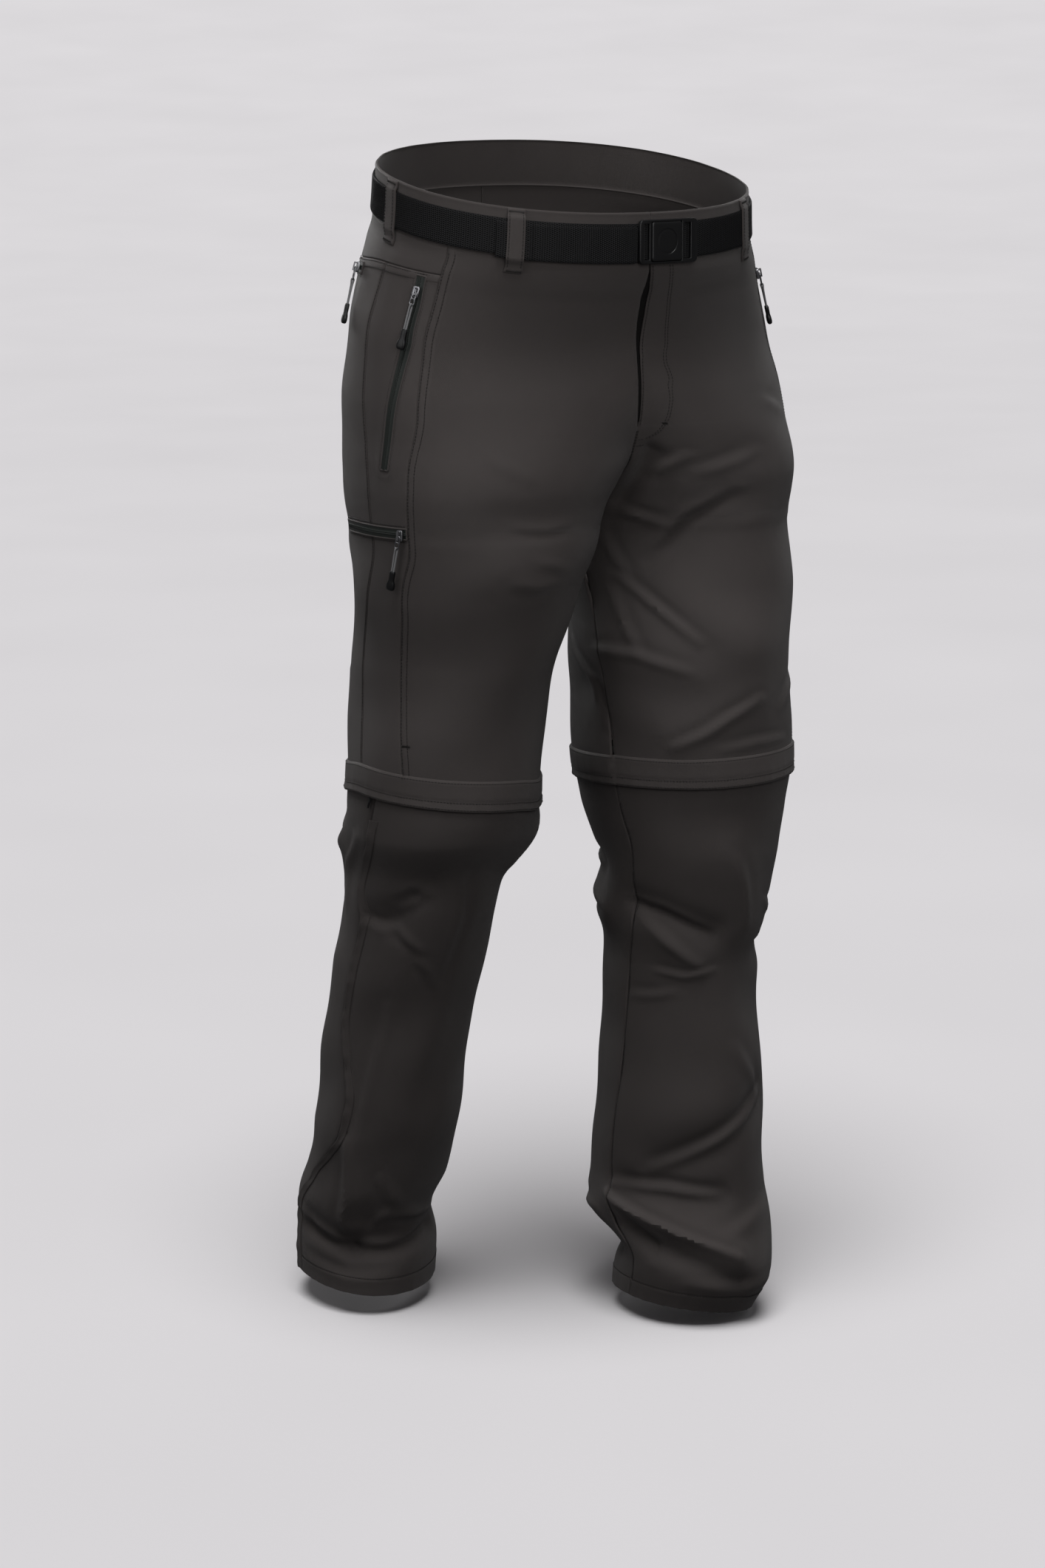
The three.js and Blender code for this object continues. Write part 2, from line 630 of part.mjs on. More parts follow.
// A plate in the XZ plane, from y = 0 outward
function plate(shape, thick) {
  const geometry = new THREE.ExtrudeGeometry(shape,
    { depth: thick, bevelEnabled: false });
  return geometry.rotateX(Math.PI / 2).translate(0, thick, 0);
}

// Two webbing windows beside the opening that the plate fills
function buckleFrame() {
  const hole = (wide, high, x) => solid(box(wide, 3 * BUCKLE_THICK, high, x, 0, 0));
  const opening = PLATE_SIDE + 2 * SEAM;
  const beside = opening / 2 + BUCKLE_BAR + WINDOW_WIDE / 2;
  const short = WINDOW_WIDE - WINDOW_LESS;
  return meshOf(solid(plate(roundedShape(BUCKLE_WIDE, BUCKLE_HIGH, BUCKLE_CORNER), BUCKLE_THICK))
    .subtract(hole(opening, opening, PLATE_PLACE))
    .subtract(hole(WINDOW_WIDE, WINDOW_HIGH, PLATE_PLACE - beside))
    .subtract(hole(short, WINDOW_HIGH, PLATE_PLACE + beside - WINDOW_LESS / 2)));
}

const bucklePlate = () => plate(roundedShape(PLATE_SIDE, PLATE_SIDE, 2), PLATE_THICK);

// A slider's bridge stands over the bar of its tab, whose middle is the pivot
const PIVOT_OUT = SLIDER.thick + BRIDGE.gap / 2;

function slider() {
  const base = solid(plate(roundedShape(SLIDER.wide, SLIDER.high, SLIDER.corner), SLIDER.thick));
  const high = BRIDGE.hole + 2 * BRIDGE.bar;
  const deep = BRIDGE.sunk + BRIDGE.gap + BRIDGE.bar;
  const arch = solid(box(BRIDGE.wide, deep, high, 0, SLIDER.thick - BRIDGE.sunk + deep / 2, 0));
  const hole = solid(box(BRIDGE.wide + 2, BRIDGE.gap, BRIDGE.hole, 0, PIVOT_OUT, 0));
  return meshOf(base.add(arch).subtract(hole));
}

function tab() {
  const middle = TAB.bar - TAB.long / 2;
  const bar = solid(plate(roundedShape(TAB.wide, TAB.long, TAB.corner), TAB.thick)
    .translate(0, -TAB.thick / 2, middle));
  const eye = solid(box(TAB.eyeWide, TAB.thick + 2, TAB.eyeEnd - TAB.bar, 0, 0,
    -(TAB.eyeEnd + TAB.bar) / 2));
  return meshOf(bar.subtract(eye));
}

// The cord's two strands lie side by side and are built as one flat oval length
function cord() {
  const shape = new THREE.Shape();
  shape.absellipse(0, 0, CORD.wide / 2, CORD.thick / 2, 0, 2 * Math.PI);
  const top = TAB.bar - TAB.long - SEAM;
  const route = new THREE.LineCurve3(new THREE.Vector3(0, 0, top),
    new THREE.Vector3(0, 0, top - CORD.long));
  const geometry = new THREE.ExtrudeGeometry(shape,
    { steps: 2, extrudePath: route, curveSegments: 8, bevelEnabled: false });
  const turned = new THREE.Box3().setFromBufferAttribute(geometry.attributes.position);
  return turned.max.x - turned.min.x < CORD.wide - 0.1 ? geometry.rotateZ(Math.PI / 2) : geometry;
}

function cordEnd() {
  const top = TAB.bar - TAB.long - 2 * SEAM - CORD.long;
  return plate(roundedShape(END.wide, END.long, END.corner), END.thick)
    .translate(0, -END.thick / 2, top - END.long / 2);
}

const PULL_LONG = TAB.long + CORD.long + END.long;
const PULL_LEAN = 1;

const garment = new THREE.Group();
const colours = {
  cloth: new THREE.MeshStandardMaterial({ color: 0x3a3635, roughness: 0.82 }),
  webbing: new THREE.MeshStandardMaterial({ color: 0x161617, roughness: 0.7 }),
  plastic: new THREE.MeshStandardMaterial({ color: 0x131314, roughness: 0.4 }),
  tape: new THREE.MeshStandardMaterial({ color: 0x1e211f, roughness: 0.8 }),
  metal: new THREE.MeshStandardMaterial({ color: 0x55565a, roughness: 0.35, metalness: 1 }),
  cord: new THREE.MeshStandardMaterial({ color: 0x77787a, roughness: 0.8 }),
};

function put(name, geometry, colour, parent = garment) {
  const mesh = new THREE.Mesh(geometry, colours[colour].clone());
  mesh.name = name;
  parent.add(mesh);
}

// A frame whose Y points out from the cloth and whose Z points to what is above
function frameAt(origin, out, above) {
  const group = new THREE.Group();
  const x = new THREE.Vector3().crossVectors(out, above).normalize();
  const z = new THREE.Vector3().crossVectors(x, out).normalize();
  group.matrix.makeBasis(x, out.clone().normalize(), z).setPosition(origin);
  group.matrix.decompose(group.position, group.quaternion, group.scale);
  garment.add(group);
  return group;
}

// A slider on its tape, and the tab, cord and moulded end that hang from it along the cloth
function pull(name, side, z, angle) {
  const seat = REST + TAPE_THICK + 2 * SEAM;
  const origin = cloth(side, z, angle, seat);
  const below = cloth(side, z - PULL_LONG, angle, seat + PULL_LEAN);
  const away = sign[side] * (below.x - origin.x) > 0;
  const upward = origin.clone().sub(away ? below : origin.clone().setZ(below.z)).normalize();
  const out = normalOf(foldedPoint, side, z, angle);
  out.addScaledVector(upward, -out.dot(upward)).normalize();
  put(`slider_${name}`, slider(), 'metal', frameAt(origin, out, upward));
  const hanging = frameAt(origin.addScaledVector(out, PIVOT_OUT), out, upward);
  put(`pull_tab_${name}`, tab(), 'metal', hanging);
  put(`pull_cord_${name}`, cord(), 'cord', hanging);
  put(`pull_end_${name}`, cordEnd(), 'plastic', hanging);
}

put('waistband', waistband(), 'cloth');
for (const side of ['right', 'left']) {
  put(`yoke_${side}`, yoke(side), 'cloth');
  put(`front_${side}`, front(side), 'cloth');
  put(`side_panel_${side}`, sidePanel(side), 'cloth');
  put(`back_${side}`, back(side), 'cloth');
  put(`knee_zip_${side}`, kneeZip(side), 'tape');
  put(`knee_flap_${side}`, kneeFlap(side), 'cloth');
  put(`lower_front_${side}`, lowerFront(side), 'cloth');
  put(`lower_back_${side}`, lowerBack(side), 'cloth');
  put(`side_zip_${side}`, sideZip(side), 'cloth');
  put(`hand_zip_${side}`, tape(side, HAND_ZIP, 14, false), 'tape');
}
put('fly_shield', flyShield(), 'cloth');
put('cargo_zip', tape('right', CARGO_ZIP, 9, true), 'tape');
put('back_zip', tape('right', BACK_ZIP, 9, true), 'tape');
put('belt', belt(), 'webbing');
put('belt_tail', beltTail(), 'webbing');

const buckleAngle = angleAtX('left', 0, BUCKLE_X);
const buckleOut = normalOf(foldedPoint, 'left', 0, buckleAngle);
const buckle = frameAt(cloth('left', 0, buckleAngle, BELT_OUT + SEAM), buckleOut,
  new THREE.Vector3(0, 0, 1));
put('buckle_frame', buckleFrame(), 'plastic', buckle);
put('buckle_plate', bucklePlate().translate(PLATE_PLACE, 0, 0), 'plastic', buckle);

const LOOPS = [['right', 41, TAIL_OUT], ['right', 92, BELT_OUT], ['right', 139, BELT_OUT],
  ['left', 180, BELT_OUT], ['left', 139, BELT_OUT], ['left', 92, BELT_OUT],
  ['left', 43, BELT_OUT]];
LOOPS.forEach(([side, angle, over], i) => {
  put(`belt_loop_${i + 1}`, beltLoop(side, angle, over), 'cloth');
});

pull('hand_right', 'right', -62, 71);
pull('hand_left', 'left', -62, 71);
pull('cargo', 'right', -278, 71);
pull('back', 'right', -61.5, 107);

export default garment;
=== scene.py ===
# Convertible zip-off trousers, worn and hollow, with their own webbing belt.
# Lengths are millimetres until a mesh is made; angles are degrees round a leg from its front
# (0) over its outer side (90) to its back (180).
import math
from functools import partial

import bmesh
import bpy
import numpy as np
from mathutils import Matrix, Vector


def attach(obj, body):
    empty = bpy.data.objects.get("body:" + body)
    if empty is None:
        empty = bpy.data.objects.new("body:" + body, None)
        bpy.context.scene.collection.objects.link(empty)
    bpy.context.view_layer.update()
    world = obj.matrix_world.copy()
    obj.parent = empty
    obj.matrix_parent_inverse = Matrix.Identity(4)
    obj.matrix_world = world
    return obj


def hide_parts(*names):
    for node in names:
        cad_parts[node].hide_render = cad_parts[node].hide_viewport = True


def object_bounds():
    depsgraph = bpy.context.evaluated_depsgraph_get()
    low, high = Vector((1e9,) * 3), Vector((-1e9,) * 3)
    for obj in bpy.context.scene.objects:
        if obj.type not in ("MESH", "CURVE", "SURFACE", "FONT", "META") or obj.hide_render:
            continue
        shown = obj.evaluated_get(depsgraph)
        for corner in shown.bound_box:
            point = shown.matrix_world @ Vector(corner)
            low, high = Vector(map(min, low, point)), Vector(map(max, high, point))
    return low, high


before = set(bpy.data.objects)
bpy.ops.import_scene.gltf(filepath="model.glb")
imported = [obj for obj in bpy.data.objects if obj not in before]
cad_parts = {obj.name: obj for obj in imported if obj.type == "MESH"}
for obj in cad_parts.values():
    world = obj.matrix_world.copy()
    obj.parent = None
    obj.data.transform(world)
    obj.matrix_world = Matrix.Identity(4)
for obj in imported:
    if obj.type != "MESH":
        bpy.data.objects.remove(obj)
CAD_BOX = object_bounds()
MM = 0.001

# Camera, floor and light, in metres and degrees
CAMERA_PLACE = (-1.8583, -2.6052, 0.170)
CAMERA_HEADING = 34.842
CAMERA_DIP = 12.36
CAMERA_LENS = 81.3
FLOOR_REACH = 400
FLOOR_LEVEL = 8
FLOOR_RISE = 0.27
FLOOR_ROUND = 12
FLOOR_GAP = 0.003
SKY = 0.14
# The sun's azimuth, elevation, strength and softness in degrees; azimuth 0 is the front
SUN = (-40, 72, 3.04, 35)
# Soft boxes: name, azimuth, distance from the middle, height and power in watts
BOXES = (("front_box", -19, 1.42, 0.3, 10.9), ("right_box", -85, 1.3, 0.3, 4.4),
         ("left_box", 122, 1.8, 0.5, 8.5), ("back_box", 180, 1.7, 0.5, 14))
BOX_AIM = Vector((0, 0, -0.15))
BOX_SIDE = 0.7

# Sizes shared with the frame
REST = 0.7
BAND_TOP = 25
BAND_BOTTOM = -17
BELT_HALF = 15.5
BELT_THICK = 2
BELT_OUT = REST + BELT_THICK
LAYER_GAP = 0.3
TAIL_OUT = BELT_OUT + LAYER_GAP + BELT_THICK
BELT_JOINT_X = 20
TAIL_DROP = 2.5
TAIL_END = 47.5
TIP_LONG = 29
BUCKLE_X = 15
BUCKLE_WIDE = 64
PLATE_PLACE = 2.4
PLATE_SIDE = 33.4
LOOP_WIDTH = 15
LOOP_THICK = 1.5
LOOP_BOTTOM = -31
LOOP_STITCH = 1.8
FLY_END = -185
FLAP_HIGH = 27
UNDER_FLAP = 8
KNEE_ZIP_HIGH = 12
HEM = -1036
KNEE = -505.0
TAPE_WIDE = 9.5
TAPE_THICK = 0.9
PLACKET_DEGREES = 6
TURN = 360
MM_PER_DEGREE = 1.6
SIGN = {"right": -1, "left": 1}
SIDES = ("right", "left")

# The cloth's own sizes
SHEET = 0.7
HEM_HIGH = 18.5
STITCH_PITCH = 2.9
STITCH_LONG = 2.2
STITCH_HALF = 0.32
SEAM_OVERLAP = 0.9
FLY_OPEN = 1.9

# Level sections of one leg: distances from the middle plane outward and from front to back
SECTION = ("z", "inner", "outer", "front", "back", "square", "turn", "tilt", "lean")
HIPS = [
    (28, -177, 177, -129, 127, 2.2, 0, 0.21, 0),
    (0, -178, 178, -130, 129, 2.2, 0, 0.21, 0),
    (-22, -180, 180, -130, 131, 2.2, 0, 0.21, 0),
    (-40, -187, 187, -125, 132, 2.2, 0, 0.2, 0),
    (-60, -193, 193, -117, 132, 2.25, 0, 0.18, 0),
    (-110, -204, 207, -106, 132, 2.3, 0, 0.13, 0),
    (-160, -110, 214, -108, 131, 2.35, 0, 0.09, 0),
    (-200, -52, 217, -113, 128, 2.3, 0, 0.05, 0),
    (-220, -34, 218, -115, 126, 2.3, 0, 0.035, 0),
    (-240, -16, 218, -116, 124, 2.25, 0, 0.02, 0),
    (-262, -4, 217, -115, 123, 2.2, 0, 0.01, 0),
    (-283, -0.3, 216, -115, 120, 2.1, 0, 0, 0),
    (-292, 1.2, 215, -114, 119, 2.1, 0, 0, 0),
]
LEGS = {
    "right": HIPS + [
        (-340, 10, 208, -102, 122, 2, 5, 0, 0),
        (-400, 14, 194, -82, 134, 2, 12, 0, 0),
        (-460, 19, 195, -73, 139, 2, 17, 0, 0),
        (-520, 23, 197, -70, 138, 2, 21, 0, 0),
        (-560, 26, 196, -63, 139, 2, 24, 0, 0),
        (-600, 38, 185, -33, 151, 2, 25, 0, 0),
        (-640, 41, 183, -20, 156, 2, 26, 0, 0),
        (-700, 44, 182, 4, 174, 2, 27, 0, 0),
        (-780, 46, 180, 24, 190, 2, 28, 0, 0),
        (-860, 47, 180, 42, 208, 2, 29, 0, 0),
        (-920, 46, 180, 63, 229, 2, 30, 0.02, 0),
        (-962, 52, 180, 84, 248, 2, 30, 0.04, 0),
        (-1000, 48, 180, 83, 247, 2, 30, 0.06, 0),
        (-1036, 50, 182, 83, 243, 2, 30, 0.08, 0.03),
    ],
    "left": HIPS + [
        (-340, 6, 216, -125, 97, 2, 5, 0, 0),
        (-400, 10, 202, -140, 78, 2, 12, 0, 0),
        (-455, 15, 200, -142, 72, 2, 16, 0, 0),
        (-510, 17, 203, -143, 69, 2, 19, 0, 0),
        (-550, 25, 197, -136, 61, 2, 21, 0, 0),
        (-588, 33, 189, -134, 47, 2, 22, 0, 0),
        (-625, 38, 185, -126, 45, 2, 22, 0, 0),
        (-663, 42, 183, -117, 39, 2, 22, 0, 0),
        (-700, 46, 179, -109, 40, 2, 22, 0, 0),
        (-775, 45, 181, -113, 43, 2, 22, 0, 0),
        (-850, 44, 183, -118, 48, 2, 24, 0, 0),
        (-922, 43, 185, -117, 55, 2, 26, 0, 0),
        (-958, 42, 186, -127, 46, 2, 26, 0, -0.04),
        (-995, 47, 179, -137, 17, 2, 26, 0, -0.1),
        (-1036, 48, 172, -118, 18, 2, 26, 0, -0.16),
    ],
}
SHIFT = [(-20, 0), (-60, 3), (-110, 6), (-160, 9), (-200, 11), (-240, 12), (-292, 12),
         (-340, 8), (-400, 2), (-460, 0)]

# Seams as (z, angle), and lines across the cloth as (angle, z)
FRONT_SEAM = [(-20, 65), (-90, 63), (-170, 63), (-228, 68), (-309, 68), (-360, 62),
              (-420, 53.5), (-470, 44.5), (-505, 40)]
OUT_SEAM = [(-20, 89), (-220, 90), (-365, 88.5), (-430, 82), (-470, 76), (-505, 71)]
IN_SEAM = [(-292, -90), (-400, -96), (-630, -99), (-780, -108), (-900, -117), (-1036, -117)]
LOWER_SEAM = {
    "right": [(-510, 57), (-576, 61), (-612, 63), (-650, 57), (-700, 56), (-744, 58),
              (-790, 51), (-830, 44), (-863, 46), (-890, 57), (-916, 69), (-967, 76),
              (-1036, 78)],
    "left": [(-510, 60), (-600, 62), (-740, 57), (-850, 50), (-920, 62), (-1036, 72)],
}
YOKE_SEAM = [(65, -43), (90, -46), (110, -54), (140, -66), (180, -80)]
FLAP_TOP = {
    "right": [(-99, -508), (-62, -511), (-32, -504), (6, -499), (41, -495), (71, -493),
              (100, -500), (150, -506), (200, -506), (261, -508)],
    "left": [(-99, -497), (-54, -494), (-18, -493), (15, -493), (60, -495), (110, -500),
             (160, -505), (210, -503), (261, -497)],
}
SLIT = [(-17, 0.15), (-36, 1.0), (-52, 1.9), (-78, 1.8), (-110, 1.05), (-160, 0.8),
        (FLY_END, 0.3)]

# Folds: width and height in millimetres, then the (z, angle) places of the fold's line
FOLDS = {
    "right": [
        (22, -2.2, (-262, 20), (-272, -20)), (24, 2.4, (-312, 22), (-322, -16)),
        (26, -4.5, (-345, 130), (-380, 215)), (24, 4.5, (-300, 140), (-330, 235)),
        (17, 6, (-560, -84), (-588, -60)), (16, 7, (-570, 118), (-588, 92)),
        (15, -4, (-606, 8), (-632, 32)), (15, -4.5, (-641, 26), (-637, 48)),
        (18, -8, (-610, 150), (-600, 225)), (18, 7, (-640, 140), (-650, 235)),
        (20, -6, (-672, 160), (-690, 245)), (24, 4, (-700, 84), (-860, 96)),
        (26, -3, (-745, -40), (-870, -15)), (22, 6, (-878, 34), (-962, 20)),
        (17, 5, (-944, -10), (-960, -66)), (15, -8, (-972, 56), (-984, 14)),
        (15, -8, (-984, 14), (-976, -66)), (18, 6, (-925, 150), (-945, 250)),
        (17, -8, (-960, 120), (-970, 240)),
    ],
    "left": [
        (20, -3, (-234, -36), (-216, 6)), (8, -8, (-212, -31), (-235, -46), (-262, -64)),
        (22, -4, (-317, -52), (-262, -6)), (20, -4, (-345, -62), (-392, -38)),
        (24, 2.4, (-352, -40), (-395, -14)), (20, 3.4, (-402, -84), (-414, -48)),
        (20, -5, (-434, -118), (-400, -134)), (22, 3.4, (-474, -58), (-442, -14)),
        (26, -4.5, (-345, 130), (-370, 220)), (24, 4.5, (-305, 140), (-330, 235)),
        (22, 4, (-585, -34), (-655, -14)), (15, -7, (-640, -96), (-664, -42)),
        (16, 3.5, (-652, -92), (-692, -50)), (16, -5, (-688, 14), (-686, 48)),
        (18, -7, (-604, 145), (-612, 225)), (18, 6, (-645, 140), (-655, 230)),
        (24, 4, (-760, 96), (-880, 112)), (24, -6, (-893, -78), (-833, 8)),
        (17, -5, (-918, -104), (-922, -40)), (17, 8, (-936, -112), (-978, -34)),
        (15, -7, (-962, -100), (-1000, -30)), (18, 6, (-940, 140), (-950, 220)),
        (17, -7, (-975, 130), (-985, 215)),
    ],
}
# Sharper creases that run out at both ends, a ridge beside a trough, in rows of the same kind
CREASES = {
    "right": [
        (5, 0.8, (-268, 16), (-272, 2), (-269, -12)),
        (6, 1.0, (-318, 12), (-324, -2), (-319, -14)), (5, 0.7, (-300, 4), (-311, -16)),
        (7, 0.5, (-205, 30), (-226, 12)), (6, 1.3, (-612, 30), (-604, 20), (-612, 6)),
        (5, 1.2, (-629, 27), (-618, 14), (-611, 8)), (6, -1.6, (-638, 54), (-643, 40), (-640, 26)),
        (5, 1.3, (-646, 28), (-660, 12), (-668, 3)), (5, 1.1, (-676, 4), (-690, -6), (-704, -12)),
        (8, 1.8, (-566, 74), (-600, 84), (-640, 80)),
        (9, 2.0, (-560, 96), (-590, 104), (-622, 98)),
        (9, -1.2, (-590, -20), (-640, -26), (-700, -22)),
        (9, 1.2, (-730, 20), (-800, 26), (-862, 30)), (9, 2.6, (-870, 37), (-930, 24), (-974, 16)),
        (8, 3.0, (-966, 66), (-974, 40), (-982, 18)),
        (8, 3.0, (-982, 16), (-980, -20), (-968, -66)),
        (7, 1.6, (-958, -66), (-944, -10), (-968, -2)),
        (8, 1.4, (-905, 2), (-932, -14), (-948, -40)),
        (8, -1.0, (-1004, 60), (-1010, 20), (-1004, -20)),
        (8, 2.2, (-352, 140), (-376, 180), (-380, 215)), (7, 1.6, (-318, 150), (-330, 200)),
        (9, 1.4, (-420, 120), (-440, 170)), (7, 2.4, (-606, 150), (-598, 190), (-604, 225)),
        (7, -2.0, (-628, 150), (-634, 200), (-640, 235)),
        (8, 2.0, (-668, 160), (-684, 205), (-692, 245)),
        (9, 1.4, (-760, 120), (-800, 150), (-860, 160)),
        (7, 2.4, (-940, 140), (-952, 190), (-950, 240)),
        (7, -1.8, (-980, 130), (-990, 180), (-986, 230)),
        (10, 1.2, (-150, 150), (-190, 165), (-235, 168)),
    ],
    "left": [
        (5, 1.5, (-235, -40), (-222, -24), (-215, -16)),
        (6, 1.2, (-235, -18), (-228, -4), (-216, 12)),
        (5, 1.7, (-269, -64), (-276, -52), (-283, -40)),
        (5, 1.6, (-272, -73), (-300, -71), (-330, -67)),
        (6, -2.5, (-318, -52), (-300, -38), (-278, -26), (-257, -2)),
        (5, 2.5, (-333, -70), (-358, -56), (-388, -40)),
        (5, 1.6, (-345, -78), (-372, -76), (-398, -72)),
        (6, 1.4, (-400, -96), (-400, -74), (-414, -48)),
        (5, 1.9, (-484, -62), (-470, -44), (-458, -32), (-441, -10)),
        (5, 1.1, (-486, -38), (-482, -14), (-483, 10)),
        (7, 0.9, (-455, 8), (-440, 22), (-432, 40)),
        (6, 1.6, (-391, -140), (-412, -122), (-429, -107), (-469, -102)),
        (8, 0.6, (-170, 30), (-186, 46)),
        (5, -1.9, (-640, -100), (-646, -78), (-658, -58), (-668, -40)),
        (6, 1.5, (-650, -95), (-680, -64), (-696, -48)),
        (7, 1.5, (-590, -32), (-616, -23), (-660, -14)),
        (6, -1.3, (-682, 4), (-688, 10), (-686, 30)), (6, 1.1, (-640, 6), (-652, 22), (-648, 40)),
        (4, 1.3, (-702, -80), (-706, -58), (-700, -36)),
        (5, 0.9, (-730, -100), (-728, -84), (-722, -66)),
        (9, 1.2, (-780, -20), (-808, -4), (-836, 10)),
        (7, 2.2, (-897, -84), (-868, -40), (-829, 12)),
        (6, 1.9, (-918, -112), (-916, -74), (-922, -38)),
        (5, 2.4, (-930, -118), (-950, -80), (-979, -32)),
        (6, -1.8, (-946, -106), (-968, -88), (-985, -96)),
        (8, 1.2, (-960, -40), (-948, -14), (-940, 8)),
        (7, 1.0, (-1006, -70), (-1010, -30), (-1004, 10)),
        (8, 2.2, (-350, 140), (-370, 180), (-372, 220)), (7, 1.6, (-320, 150), (-332, 200)),
        (9, 1.4, (-430, 120), (-452, 165)), (7, 2.4, (-600, 145), (-606, 185), (-612, 225)),
        (7, -2.0, (-640, 150), (-648, 195), (-655, 230)),
        (9, 1.4, (-770, 110), (-820, 124), (-880, 120)),
        (7, 2.2, (-945, 140), (-955, 180), (-950, 220)),
        (10, 1.2, (-150, 150), (-190, 165), (-235, 168)),
    ],
}


def curve(rows, column=1):
    """A smooth curve through a table's column, over its first one, that doesn't swing past it"""
    rows = np.array(sorted(rows), float)
    x, y = rows[:, 0], rows[:, column]
    h = np.diff(x)
    rise = np.diff(y) / h
    slope = np.zeros_like(x)
    slope[0], slope[-1] = rise[0], rise[-1]
    same = rise[:-1] * rise[1:] > 0
    slope[1:-1][same] = (2 * rise[:-1] * rise[1:])[same] / (rise[:-1] + rise[1:])[same]

    def value(at):
        at = np.clip(at, x[0], x[-1])
        i = np.clip(np.searchsorted(x, at, side="right") - 1, 0, len(x) - 2)
        t = (at - x[i]) / h[i]
        return (y[i] * (1 + 2 * t) * (1 - t) ** 2 + slope[i] * h[i] * t * (1 - t) ** 2
                + y[i + 1] * t * t * (3 - 2 * t) - slope[i + 1] * h[i] * t * t * (1 - t))

    return value


SECTION_CURVES = {side: {name: curve(rows, i) for i, name in enumerate(SECTION) if i}
                  for side, rows in LEGS.items()}
shift_at = curve(SHIFT)
front_seam = curve(FRONT_SEAM)
out_seam = curve(OUT_SEAM)
in_seam = curve(IN_SEAM)
lower_seam = {side: curve(rows) for side, rows in LOWER_SEAM.items()}
yoke_seam = curve(YOKE_SEAM)
flap_top = {side: curve(rows) for side, rows in FLAP_TOP.items()}
slit_at = curve(SLIT)


def lerp(a, b, t):
    return a + (b - a) * t


def bell(away, width=1):
    return np.exp(-(away / width) ** 2)


def smooth_step(low, high, at):
    t = np.clip((at - low) / (high - low), 0, 1)
    return t * t * (3 - 2 * t)


def section_at(side, z):
    s = {name: value(z) for name, value in SECTION_CURVES[side].items()}
    s["middle"] = (s["inner"] + s["outer"]) / 2
    s["half_width"] = (s["outer"] - s["inner"]) / 2
    s["centre"] = (s["front"] + s["back"]) / 2
    s["half_depth"] = (s["back"] - s["front"]) / 2
    return s


def powered(value, power):
    """A power that keeps the sign"""
    return np.sign(value) * np.abs(value) ** power


def smooth_point(side, z, angle):
    """A point of the smooth form, before its folds"""
    z, angle = np.broadcast_arrays(np.asarray(z, float), np.asarray(angle, float))
    s = section_at(side, z)
    power = 2 / s["square"]
    across = powered(np.sin(np.radians(angle)), power) * s["half_width"]
    ahead = -powered(np.cos(np.radians(angle)), power) * s["half_depth"]
    turn = np.radians(s["turn"])
    x = across * np.cos(turn) - ahead * np.sin(turn)
    y = across * np.sin(turn) + ahead * np.cos(turn) + s["centre"]
    return np.stack([SIGN[side] * (x + s["middle"]) + shift_at(z), y,
                     z + s["tilt"] * y + s["lean"] * x], -1)


def unit(vectors):
    return vectors / np.maximum(np.linalg.norm(vectors, axis=-1, keepdims=True), 1e-9)


def normal_of(point, side, z, angle):
    z, angle = np.asarray(z, float), np.asarray(angle, float)
    across = point(side, z, angle + 0.5) - point(side, z, angle - 0.5)
    up = point(side, z + 1, angle) - point(side, z - 1, angle)
    return unit(np.cross(across, up)) * SIGN[side]


def along_line(line, z, angle):
    """Distance from a line of (z, angle) places, the side of it, and how far along it"""
    line = np.array(line, float)
    middle = (line[:, 1].min() + line[:, 1].max()) / 2
    near = angle - TURN * np.round((angle - middle) / TURN)
    u, v = near * MM_PER_DEGREE, z
    ends_u, ends_v = line[:, 1] * MM_PER_DEGREE, line[:, 0]
    long = np.hypot(np.diff(ends_u), np.diff(ends_v))
    before = np.concatenate([[0], np.cumsum(long)])
    away = np.full(np.shape(z), 1e9)
    beside = np.zeros(np.shape(z))
    share = np.zeros(np.shape(z))
    for i, size in enumerate(long):
        du, dv = (ends_u[i + 1] - ends_u[i]) / size, (ends_v[i + 1] - ends_v[i]) / size
        run = np.clip((u - ends_u[i]) * du + (v - ends_v[i]) * dv, 0, size)
        off_u, off_v = u - ends_u[i] - run * du, v - ends_v[i] - run * dv
        gap = np.hypot(off_u, off_v)
        closer = gap < away
        away = np.where(closer, gap, away)
        beside = np.where(closer, np.sign(du * off_v - dv * off_u), beside)
        share = np.where(closer, (before[i] + run) / before[-1], share)
    return away, beside, share


# Slow swells of the cloth: waves with a direction, a length and a phase each
rng = np.random.default_rng(7)
SWELLS = [(rng.uniform(0, math.pi), rng.uniform(45, 150), rng.uniform(0, math.tau))
          for _ in range(9)]
SWELL_HEIGHT = 0.45
CREASE_DEPTH = 1.7
CREASE_WIDTH = 0.8
# The trough beside a crease: its share of the ridge's height, and how many widths away it lies
TROUGH_SHARE = 0.55
TROUGH_AWAY = 1.7
# Above the fork the cloth has no folds as near as this to the middle plane, and all of them
# from the second distance on
FLAT_TO, FOLDED_FROM = 2, 13


